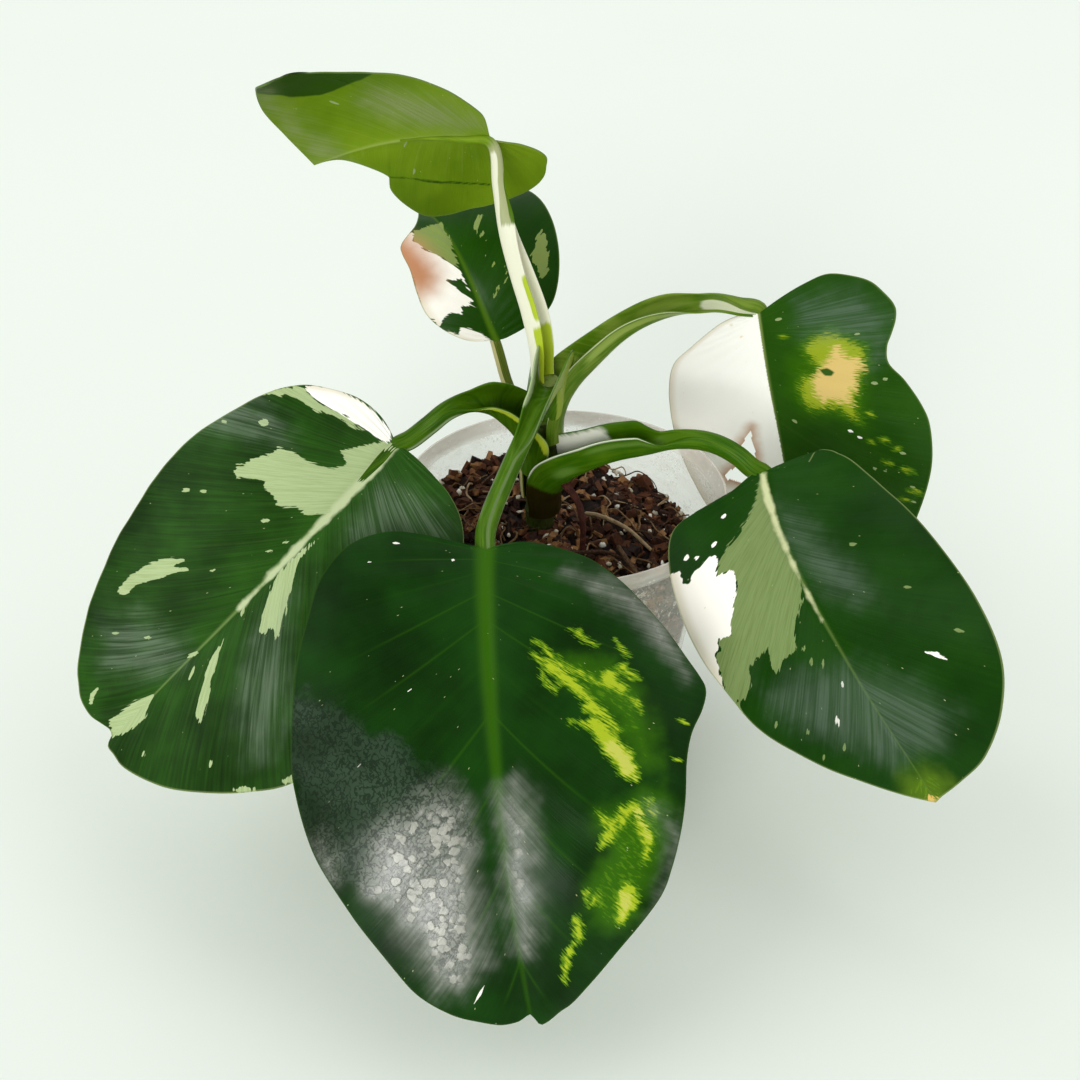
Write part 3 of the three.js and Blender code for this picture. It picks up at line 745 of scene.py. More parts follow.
class LeafSurface:
    """Bends the flat leaf into space."""

    RIB_SOFTNESS = 1.6

    def __init__(self, form: LeafForm) -> None:
        """Measures the midrib.

        Args:
            form: the leaf's form.
        """
        self.form = form
        self.curve = bezier(form.midrib)
        self.length = self.curve.length
        self.facing = unit(np.array(form.facing, float))

    def frames(self, along: Array) -> tuple[Array, Array, Array, Array]:
        """The midrib and how the leaf stands on it.

        Args:
            along: distances along the midrib, negative on the back lobes.

        Returns:
            The points, directions, upper sides and right sides there.
        """
        along = np.asarray(along, float)
        inside = np.clip(along, 0.0, self.length)
        point, ahead = self.curve.at(inside), self.curve.ahead(inside)
        blend = ease(inside / self.length, 0.0, 1.0)[..., None]
        up = between(self.facing[0], self.facing[1], blend)
        up = unit(up - ahead * np.sum(up * ahead, -1, keepdims=True))
        side = np.cross(ahead, up)
        bend = math.radians(self.form.lobe_curl) / 100
        angle = (np.clip(-along, 0.0, None) * bend)[..., None]
        point = point - ahead * np.sin(angle) / bend - up * (1 - np.cos(angle)) / bend
        up = up * np.cos(angle) - ahead * np.sin(angle)
        return point + ahead * np.clip(along - self.length, 0.0, None)[..., None], ahead, up, side

    def at(self, across: Array, along: Array) -> Array:
        """The points in space of places in the flat leaf.

        Args:
            across: their distances from the midrib, negative on the left.
            along: their distances along it.

        Returns:
            The points.
        """
        across, along = np.asarray(across, float), np.asarray(along, float)
        point, _, up, side = self.frames(along)
        share = np.clip(along / self.length, 0.0, 1.0)
        half = (across >= 0).astype(int)
        rise, curl = np.array(self.form.rise, float), np.array(self.form.curl, float)
        start = np.radians(between(rise[0][half], rise[1][half], share))
        turn = np.radians(between(curl[0][half], curl[1][half], share)) / 100
        reach = np.abs(across)
        end = start - turn * reach
        out = (np.sin(start) - np.sin(end)) / turn
        soft = np.sqrt(reach**2 + self.RIB_SOFTNESS**2) - self.RIB_SOFTNESS
        lift = (np.cos(start - turn * soft) - np.cos(start)) / turn
        return point + side * (np.sign(across) * out)[..., None] + up * lift[..., None]

    def normals(self, across: Array, along: Array) -> Array:
        """How the upper side faces at places in the flat leaf.

        Args:
            across: their distances from the midrib.
            along: their distances along it.

        Returns:
            The directions.
        """
        step = 0.5
        a = self.at(across + step, along) - self.at(across - step, along)
        b = self.at(across, along + step) - self.at(across, along - step)
        return unit(np.cross(a, b))


@dataclass(frozen=True)
class Pucker:
    """How a blade stands up between its side veins, in millimetres, and how plain its veins are."""

    spacing: float
    height: float
    ripple: float
    phase: float
    lines: float
    rib_width: float
    groove: float = 0.7


@dataclass
class Leaf:
    """One leaf blade, with its veins, its marks and any tear. Its rows crowd towards the stalk along
    side veins that bow, warp and ripple are its broad and narrow waves in millimetres, and far
    caps the depths of its marks."""

    key: str
    form: LeafForm
    finish: LeafFinish
    under: LeafFinish
    edge: LeafFinish
    marks: dict
    flecks: dict
    pucker: Pucker
    tears: tuple
    rows: int
    columns: int
    slot: str
    thickness: float = 0.5
    crowding: float = 2.4
    bow: float = -0.3
    vein_pace: float = 0.9
    left_shift: float = 0.37
    warp_length: float = 34.0
    warp_height: float = 1.2
    ripple_length: float = 17.0
    seed_step: float = 7.3
    fleck_sharpness: float = 3.0
    tear_blush: float = 1.8
    far: float = 20.0

    def _flat(self, columns: Array, rows: Array) -> dict[str, Array]:
        """Places each vertex in the flat leaf, on the line of its side vein.

        Args:
            columns: the vertex's column, from the left margin to the right one.
            rows: its row, from the stalk to the tip.

        Returns:
            Its place, the direction of its vein and its distances, as arrays.
        """
        surface = self.surface
        tip = (0.0, surface.length)
        margins = [through([*side, tip]) for side in (self.form.left, self.form.right)]
        share = rows / self.rows
        half = (columns >= self.columns).astype(int)
        ends = [m.at(share * m.length) for m in margins]
        end = np.where(half[:, None] == 0, ends[0], ends[1])
        foot = surface.length * share**self.crowding
        out = np.abs(columns - self.columns) / self.columns
        slow = out * (1 - self.bow * (1 - out))
        place = np.stack([end[:, 0] * out, between(foot, end[:, 1], slow)], -1)
        drop = end[:, 1] - foot
        lean = np.stack([end[:, 0], drop * (1 - self.bow * (1 - 2 * out))], -1)
        span = np.hypot(end[:, 0], drop)
        size = max(m.length for m in margins)
        flat = {"place": place, "lean": unit(lean + 1e-9), "span": span, "out": out, "share": share, "size": size}
        return {**flat, "veins": size * share**self.vein_pace / self.pucker.spacing}

    def _relief(self, flat: dict[str, Array]) -> Array:
        """How far the blade stands off its smooth surface.

        Args:
            flat: the vertices' places in the flat leaf.

        Returns:
            The height at each vertex.
        """
        place, out = flat["place"], flat["out"]
        side = np.where(place[:, 0] < 0, self.left_shift, 0.0)
        wave = np.cos(2 * np.pi * (flat["veins"] + side + self.pucker.phase))
        height = -self.pucker.height * wave * ease(out, 0.02, 0.3) * (1 - 0.6 * ease(out, 0.6, 1.0))
        taper = 1 - 0.75 * np.clip(place[:, 1] / self.surface.length, 0, 1)
        height -= self.pucker.groove * taper * np.exp(-((place[:, 0] / (0.4 + 1.5 * taper)) ** 2))
        seed = own_seed(self.key, self.seed_step)
        warp = [noise.noise(Vector((*(spot / self.warp_length), seed))) for spot in place]
        edge = [noise.noise(Vector((*(spot / self.ripple_length), seed + 3.1))) for spot in place]
        ripple = self.pucker.ripple * np.array(edge) * ease(out, 0.5, 1.0)
        return height + self.warp_height * np.array(warp) + ripple

    def _fields(self, flat: dict[str, Array]) -> dict[str, Array]:
        """The attributes that the finish reads.

        Args:
            flat: the vertices' places in the flat leaf.

        Returns:
            An array for each attribute.
        """
        place, out, share = flat["place"], flat["out"], flat["share"]
        along = np.clip(place[:, 1] / self.surface.length, 0, 1)
        width = self.pucker.rib_width * (1 - 0.8 * along)
        off_middle = np.abs((flat["veins"] + self.pucker.phase) % 1 - 0.5)
        gap = (0.5 - off_middle) * self.pucker.spacing
        fields = {
            "flat": np.column_stack([place, np.zeros(len(out))]),
            "vein": np.column_stack([share * flat["size"], out * flat["span"] * np.sign(place[:, 0]), along]),
            "margin": (1 - out) * flat["span"],
            "rib": 0.8 * (1 - ease(np.abs(place[:, 0]), 0.1 * width, 1.2 * width)) * (1 - 0.55 * along),
            "near": np.exp(-np.abs(place[:, 0]) / 16) * (1 - 0.7 * along),
            "lines": self.pucker.lines * (1 - ease(gap, 0.1, 0.9)) * (1 - ease(out, 0.3, 0.9)) * ease(out, 0.0, 0.05),
        }
        for tone in Tone:
            depth = np.full(len(out), -self.far)
            for outline in self.marks.get(tone, ()):
                depth = np.maximum(depth, depth_inside(place, outline))
            for spot in self.flecks.get(tone, ()):
                depth = np.maximum(depth, self._fleck(flat, *spot))
            fields[tone.value] = np.clip(depth, -self.far, self.far)
        for outline in self.tears:
            near = depth_inside(place, outline) + self.tear_blush
            fields["rust"] = np.maximum(fields["rust"], np.clip(near, -self.far, 4))
        return fields

    def _fleck(self, flat: dict[str, Array], across: float, along: float, length: float, width: float) -> Array:
        """How deep the vertices lie in a small mark drawn out along the veins.

        Args:
            flat: the vertices' places in the flat leaf.
            across: the mark's middle.
            along: the same, along the leaf.
            length: half its length.
            width: half its width.

        Returns:
            One signed distance a vertex.
        """
        offset = flat["place"] - (across, along)
        lean = flat["lean"][np.argmin(np.sum(offset**2, axis=1))]
        run = offset @ lean
        skew = offset @ np.array([-lean[1], lean[0]])
        return self.fleck_sharpness * width * (1 - np.hypot(run / length, skew / width))

    def build(self) -> Made:
        """Models the blade and dresses it.

        Returns:
            The piece.
        """
        self.surface = LeafSurface(self.form)
        blade, columns, rows = sheet_mesh(2 * self.columns, self.rows)
        flat = self._flat(columns, rows)
        across, along = flat["place"].T
        normal = self.surface.normals(across + 1e-6, along)
        middle = self.surface.at(across, along) + normal * self._relief(flat)[:, None]
        move(blade, middle + normal * self.thickness / 2)
        store(blade, {**self._fields(flat), "number": np.arange(len(columns))})
        depth = np.full(len(columns), -1.0)
        for outline in self.tears:
            depth = np.maximum(depth, depth_inside(flat["place"], outline))
        blade.verts.ensure_lookup_table()
        torn = [f for f in blade.faces if all(depth[v.index] > 0 for v in f.verts)]
        bmesh.ops.delete(blade, geom=torn, context="FACES")
        bmesh.ops.remove_doubles(blade, verts=blade.verts, dist=1e-6)
        bmesh.ops.dissolve_degenerate(blade, edges=blade.edges, dist=1e-7)
        thicken(blade, middle - normal * self.thickness / 2)
        finishes = [finish.material() for finish in (self.finish, self.under, self.edge)]
        return piece(f"blade_{self.key}", blade, finishes, f"leaf_{self.key}")


def thicken(sheet: Form, below: Array) -> None:
    """Gives a sheet a second side, of material 1, and an edge, of material 2.

    Args:
        sheet: the upper side, whose attribute number counts its vertices.
        below: the underside's points by that number, in millimetres.
    """
    sheet.normal_update()
    upper, kept = set(sheet.faces), set(sheet.verts)
    bmesh.ops.solidify(sheet, geom=list(sheet.faces), thickness=0.5 * MM)
    number = sheet.verts.layers.float["number"]
    for vertex in sheet.verts:
        if vertex not in kept:
            vertex.co = below[round(vertex[number])] * MM
    for face in sheet.faces:
        sides = {vertex in kept for vertex in face.verts}
        face.material_index = 2 if len(sides) == 2 else int(face not in upper)
    sheet.verts.layers.float.remove(number)
    outward(sheet)
    sharpen(sheet, 50)


def sleeve(rings: Array, fields: dict[str, Array]) -> Form:
    """A closed tube over equal rings of points, from a grid that is wrapped round.

    Args:
        rings: the points, by ring and place round it, in millimetres.
        fields: values at these points, by ring and place.

    Returns:
        The tube, with flat ends.
    """
    steps, sides = rings.shape[0] - 1, rings.shape[1]
    tube, columns, rows = sheet_mesh(sides, steps)
    wrapped = columns % sides
    move(tube, rings[rows, wrapped])
    store(tube, {name: values[rows, wrapped] for name, values in fields.items()})
    bmesh.ops.remove_doubles(tube, verts=tube.verts, dist=1e-7)
    bmesh.ops.holes_fill(tube, edges=tube.edges, sides=0)
    outward(tube)
    return tube


def carried(curve: Curve, first: tuple, steps: int) -> tuple[Array, Array, Array, Array]:
    """Frames that go with a curve without twisting.

    Args:
        curve: the curve.
        first: the direction that the frames start with.
        steps: how many there are, less one.

    Returns:
        Their distances along the curve, points, directions and carried directions.
    """
    distance = np.linspace(0.0, curve.length, steps + 1)
    points, ahead = curve.at(distance), curve.ahead(distance)
    kept, rows = unit(np.array(first, float)), []
    for direction in ahead:
        kept = unit(kept - direction * (kept @ direction))
        rows.append(kept)
    return distance, points, ahead, np.array(rows)


def cord_rings(curve: Curve, radius: Array, sides: int) -> Array:
    """Round rings along a curve.

    Args:
        curve: the middle line.
        radius: one radius a ring.
        sides: points a ring.

    Returns:
        The points by ring and place.
    """
    _, points, ahead, kept = carried(curve, FIRST_SPOKE, len(radius) - 1)
    other = np.cross(ahead, kept)
    angle = np.linspace(0.0, 2 * np.pi, sides, endpoint=False)
    spokes = np.cos(angle)[:, None] * kept[:, None] + np.sin(angle)[:, None] * other[:, None]
    return points[:, None] + spokes * np.asarray(radius)[:, None, None]


# The stalks.


@dataclass(frozen=True)
class Stripe:
    """A coloured stripe on a stalk: its tone, where it lies round the stalk and along it, as shares
    counted from the edge of the right wing round the back, and how soft its sides are."""

    tone: str
    around: Pair
    along: Pair = (-0.1, 1.1)
    soft: float = 0.03

    def cover(self, around: Array, along: Array) -> Array:
        """How much the stripe covers each place.

        Args:
            around: the places as shares round the stalk.
            along: the same along it.

        Returns:
            The cover, from 0 to 1.
        """
        middle, half = sum(self.around) / 2, (self.around[1] - self.around[0]) / 2
        off = np.abs((around - middle + 0.5) % 1.0 - 0.5) - half
        ends = ease(along, self.along[0], self.along[0] + 0.06)
        ends = ends * (1 - ease(along, self.along[1] - 0.06, self.along[1]))
        return (1 - ease(off, -self.soft, self.soft)) * ends


@dataclass(frozen=True)
class StalkForm:
    """A stalk's form: its route from inside the stem to the blade, the way its open side faces at
    the foot, its radius there and further up, the share of its length over which it clasps, and
    its wings: their height at shares of its length and how far apart they stand."""

    route: list
    open: tuple
    foot_radius: float
    clasp: float
    radius: float
    wings: list
    spread: float

    def wing_height(self, share: Array) -> Array:
        """How high the wings stand.

        Args:
            share: shares of the stalk's length.

        Returns:
            The heights there.
        """
        height = 0 * share
        for (start, low), (end, high) in zip(self.wings, self.wings[1:]):
            height = np.where((share >= start) & (share < end), between(low, high, ease(share, start, end)), height)
        return height


@dataclass
class Stalk:
    """One winged leaf stalk, from its clasping foot to the rib that tapers under its blade. Its wings
    thin from the wall to a membrane, fineness rounds its section and the tube closes at the seam."""

    key: str
    form: StalkForm
    leaf: LeafForm
    finish: StalkFinish
    stripes: tuple
    slot: str
    steps: int = 110
    fineness: int = 4
    wall: float = 1.1
    membrane: float = 0.55
    rib_reach: tuple = (0, 9, 19, 30)
    rib_taper: tuple = (0.85, 0.62, 0.42, 0.24)
    rib_depth: float = 0.45
    seam: int = 13
    wave_length: float = 13.0
    wave_height: float = 0.12
    seed_step: float = 11.7

    def _section(self, radius: float, gutter: float, height: float) -> Array:
        """The outline of the stalk's section.

        Args:
            radius: the stalk's radius.
            gutter: 0 for a round stalk with a shallow channel, 1 for a gutter between wings.
            height: the wings' height.

        Returns:
            Points sideways and towards the open side, in order round the stalk.
        """
        inner = max(radius - self.wall, 0.4 * radius)
        stand = radius + 0.12 * self.form.spread * height
        top = height + 0.3 * radius
        middle = (0.5 * (stand + radius), 0.5 * top)
        lip = stand - self.membrane
        back = [(radius * math.cos(a), radius * math.sin(a)) for a in np.radians(range(0, -181, -30))]
        channel = [(-lip, top), (-inner, 0), (0, -0.72 * inner), (inner, 0), (lip, top)]
        winged = [(stand, top), middle, *back, (-middle[0], middle[1]), (-stand, top), *channel]
        rounds = [(radius, a) for a in range(60, -241, -30)]
        rounds += [(radius * (0.72 if a == 90 else 0.8), a) for a in (112, 101, 90, 79, 68)]
        plain = [(r * math.cos(math.radians(a)), r * math.sin(math.radians(a))) for r, a in rounds]
        return self._finer(between(np.array(plain), np.array(winged), gutter))

    def _finer(self, corners: Array) -> Array:
        """Rounds a closed outline, with tangents that suit its uneven spacing.

        Args:
            corners: its points.

        Returns:
            FINENESS times as many points.
        """
        after = np.roll(corners, -1, axis=0)
        length = np.linalg.norm(after - corners, axis=1, keepdims=True)
        slope = (after - np.roll(corners, 1, axis=0)) / (length + np.roll(length, 1, axis=0))
        rows = []
        for share in np.arange(self.fineness) / self.fineness:
            a, b = 2 * share**3 - 3 * share**2 + 1, share**3 - 2 * share**2 + share
            c, d = 3 * share**2 - 2 * share**3, share**3 - share**2
            rows.append(a * corners + b * slope * length + c * after + d * np.roll(slope, -1, axis=0) * length)
        return np.stack(rows, 1).reshape(-1, 2)

    def _curve(self, surface: LeafSurface) -> Curve:
        """The middle line, which runs on under the blade as a tapering rib.

        Args:
            surface: the blade's surface.

        Returns:
            The line.
        """
        point, _, up, _ = surface.frames(np.array(self.rib_reach))
        depth = self.rib_depth + self.form.radius * np.array(self.rib_taper)
        return through([*self.form.route, *(point - up * depth[:, None])], centripetal=True)

    def build(self) -> Made:
        """Models the stalk and dresses it.

        Returns:
            The piece.
        """
        form, surface = self.form, LeafSurface(self.leaf)
        curve = self._curve(surface)
        distance, points, ahead, opened = carried(curve, form.open, self.steps)
        share = distance / curve.length
        wanted = surface.frames(np.array([0.0]))[2][0]
        wanted = unit(wanted - ahead[-1] * (wanted @ ahead[-1]))
        twist = math.atan2(np.cross(opened[-1], wanted) @ ahead[-1], opened[-1] @ wanted)
        turn = (twist * ease(share, 0.3, 0.8))[:, None]
        opened = opened * np.cos(turn) + np.cross(ahead, opened) * np.sin(turn)
        side = np.cross(ahead, opened)
        on_rib = ease(distance, curve.length - self.rib_reach[-1] - 6, curve.length)
        radius = between(form.radius, form.foot_radius, 1 - ease(share, 0, form.clasp))
        radius = between(radius, form.radius * self.rib_taper[-1], on_rib)
        wings_end = form.wings[-1][0]
        gutter = 1 - ease(share, wings_end - 0.02, wings_end + 0.1)
        seed = own_seed(self.key, self.seed_step)
        wavy = np.array([noise.noise(Vector((d / self.wave_length, seed, 0.0))) for d in distance])
        height = form.wing_height(share) * (1 + self.wave_height * wavy)
        rings = []
        for row in range(self.steps + 1):
            section = self._section(radius[row], gutter[row], height[row])
            rings.append(points[row] + section[:, :1] * side[row] + section[:, 1:] * opened[row])
        rings = np.array(rings)
        sides = rings.shape[1]
        around, along = np.meshgrid(np.arange(sides) / sides, share)
        fields = {tone: np.zeros(around.shape) for tone in ("painted_light", "lime", "pale", "scar")}
        for stripe in self.stripes:
            fields[stripe.tone] = np.maximum(fields[stripe.tone], stripe.cover(around, along))
        width = np.pi * 2 * radius[:, None] * around
        fields["skin"] = np.stack([width, distance[:, None] + 0 * around, 0 * around], -1)
        seam = -self.seam * self.fineness
        rings = np.roll(rings, seam, axis=1)
        stalk = sleeve(rings, {name: np.roll(values, seam, axis=1) for name, values in fields.items()})
        sharpen(stalk, 70)
        return piece(f"petiole_{self.key}", stalk, [self.finish.material()], f"stalk_{self.key}")


@dataclass
class Stem:
    """The short main stem, ringed where older leaves stood, and its aerial root."""

    stem_finish: FibreFinish
    root_finish: FibreFinish
    stem_route: tuple = ((-9.4, 5.5, 66), (-8.8, 5, 90), (-7.6, 2.4, 124), (-6.9, 1, 149))
    stem_radius: float = 5.5
    ring_levels: tuple = (78, 87, 93, 99, 106, 114, 123, 133)
    root_route: tuple = ((-4, -1.5, 113), (-0.5, -6.5, 111.5), (3.8, -10, 107.4), (6.4, -13, 101), (6.6, -14, 78))
    root_radius: float = 1.4
    stem_sides: int = 40
    stem_steps: int = 160
    root_sides: int = 16
    root_steps: int = 90

    def _tube(self, curve: Curve, radius: Array, tint: Array, sides: int) -> Form:
        """A tinted tube along a curve.

        Args:
            curve: the middle line.
            radius: one radius a ring.
            tint: one tint a ring.
            sides: points a ring.

        Returns:
            The tube.
        """
        tints = np.repeat(tint[:, None], sides, axis=1)
        tube = sleeve(cord_rings(curve, radius, sides), {"tint": np.clip(tints, 0, 1)})
        sharpen(tube, 60)
        return tube

    def build_stem(self) -> Made:
        """Models the stem.

        Returns:
            The piece.
        """
        curve = through(self.stem_route, centripetal=True)
        distance = np.linspace(0, curve.length, self.stem_steps + 1)
        level = curve.at(distance)[:, 2]
        radius = self.stem_radius - 0.5 * ease(level, 135, 149) + 0.15 * np.sin(level * 0.7)
        rings = np.exp(-(((level[:, None] - np.array(self.ring_levels)) / 0.5) ** 2)).sum(1)
        tint = 0.5 - 0.4 * rings + 0.6 * ease(level, 122, 140)
        stem = self._tube(curve, radius + 0.25 * rings, tint, self.stem_sides)
        return piece("stem_rings", stem, [self.stem_finish.material()], "main_stem")

    def build_root(self) -> Made:
        """Models the aerial root, which tapers and is scurfy.

        Returns:
            The piece.
        """
        curve = through(self.root_route, centripetal=True)
        distance = np.linspace(0, curve.length, self.root_steps + 1)
        scurf = np.array([noise.noise(Vector((d / 1.6, 4.2, 0))) for d in distance])
        radius = between(1.02, 0.72, ease(distance, 0, curve.length)) * self.root_radius * (1 + 0.12 * scurf)
        root = self._tube(curve, radius, 0.45 + 0.5 * scurf, self.root_sides)
        return piece("root_skin", root, [self.root_finish.material()], "aerial_root")


# The pot and what fills it.


@dataclass(frozen=True)
class PotSizes:
    """The pot's sizes in millimetres."""

    rim_diameter: float = 120.0
    height: float = 105.0
    foot_diameter: float = 83.2
    wall: float = 1.3
    floor: float = 1.8
    ridge_level: float = 87.0
    ridge_step: float = 0.8
    ridge_half: float = 0.6
    foot_rise: float = 0.6
    rim_band: float = 3.5
    rim_level: float = 98.0
    rim_overhang: float = 2.6
    drain_diameter: float = 7.0
    drain_circles: tuple = ((58.0, 8), (30.0, 4))

    def radius(self, level: Array) -> Array:
        """The wall's outer radius.

        Args:
            level: heights over the floor.

        Returns:
            The radius at each.
        """
        under_rim = self.rim_diameter / 2 - self.rim_overhang
        straight = between(self.foot_diameter / 2, under_rim - self.ridge_step, np.asarray(level) / self.rim_level)
        ridge = (self.ridge_level - self.ridge_half, self.ridge_level + self.ridge_half)
        return straight + self.ridge_step * ease(level, *ridge)

    def inside(self, level: Array) -> Array:
        """How far the mix may reach at a level."""
        return self.radius(level) - self.wall - 0.25


@dataclass
class Pot:
    """The clear nursery pot with its ridge, its folded rim and its drain holes."""

    sizes: PotSizes
    finish: ClearPlasticFinish
    steps: int = 144

    def _profile(self) -> list:
        """The section's outline.

        Returns:
            Radius and level of each corner, from the middle of the underside to that of the floor.
        """
        s = self.sizes
        rim, inner = s.rim_diameter / 2, s.rim_diameter / 2 - s.wall
        levels = (s.ridge_level - s.ridge_half, s.ridge_level, s.ridge_level + s.ridge_half, s.rim_level)
        outside = [(float(s.radius(z)), z) for z in levels]
        inside = [(float(s.radius(z)) - s.wall, z) for z in reversed(levels)]
        return [
            (0.0, s.foot_rise),
            (s.foot_diameter / 2 - 3.2, s.foot_rise),
            (s.foot_diameter / 2 - 2.4, 0.0),
            (s.foot_diameter / 2 - 0.6, 0.0),
            (float(s.radius(s.foot_rise)), s.foot_rise),
            *outside,
            (rim - 1.2, s.rim_level + 0.2),
            (rim - 0.7, s.rim_level + 1.2),
            (rim - 0.1, s.height - s.rim_band),
            (rim, s.height - 0.5),
            (rim - 0.3, s.height),
            (inner + 0.3, s.height),
            (inner, s.height - 0.5),
            (inner - 0.3, s.height - s.rim_band),
            *inside,
            (float(s.radius(s.floor + 1.5)) - s.wall, s.floor + 1.5),
            (float(s.radius(s.floor)) - s.wall - 1.5, s.floor),
            (0.0, s.floor),
        ]

    def _drilled(self, shell: Form) -> Form:
        """Cuts the drain holes.

        Args:
            shell: the turned pot, which is used up.

        Returns:
            The pot with holes.
        """
        forms = {"shell": shell, "drills": bmesh.new()}
        size = self.sizes.drain_diameter / 2 * MM
        for diameter, holes in self.sizes.drain_circles:
            for angle in np.arange(holes) * 2 * math.pi / holes:
                at = Vector((math.cos(angle), math.sin(angle), 0)) * diameter / 2 * MM
                bmesh.ops.create_cone(
                    forms["drills"],
                    cap_ends=True,
                    segments=20,
                    radius1=size,
                    radius2=size,
                    depth=12 * MM,
                    matrix=Matrix.Translation(at),
                )
        objects = {name: linked(name, mesh_of(name, form)) for name, form in forms.items()}
        cut = objects["shell"].modifiers.new("holes", "BOOLEAN")
        cut.operation, cut.object, cut.solver = "DIFFERENCE", objects["drills"], "EXACT"
        drilled = bmesh.new()
        drilled.from_object(objects["shell"], bpy.context.evaluated_depsgraph_get())
        for made in objects.values():
            bpy.data.meshes.remove(made.data)
        return drilled

    def build(self) -> Made:
        """Models the pot and dresses it.

        Returns:
            The piece.
        """
        shell = bmesh.new()
        corners = [shell.verts.new((radius * MM, 0, level * MM)) for radius, level in self._profile()]
        for start, end in zip(corners, corners[1:]):
            shell.edges.new((start, end))
        long = [e for e in shell.edges if e.calc_length() > 30 * MM]
        bmesh.ops.subdivide_edges(shell, edges=long, cuts=5)
        bmesh.ops.spin(
            shell,
            geom=[*shell.verts, *shell.edges],
            cent=(0, 0, 0),
            axis=(0, 0, 1),
            angle=2 * math.pi,
            steps=self.steps,
            use_merge=True,
        )
        bmesh.ops.remove_doubles(shell, verts=shell.verts, dist=1e-6)
        outward(shell)
        pot = self._drilled(shell)
        outward(pot)
        sharpen(pot, 35)
        return piece("pot_shell", pot, [self.finish.material()], "pot")


@dataclass(frozen=True)
class Litter:
    """How many chips or grains lie somewhere and their smallest and largest size on each axis."""

    count: int
    low: tuple
    high: tuple


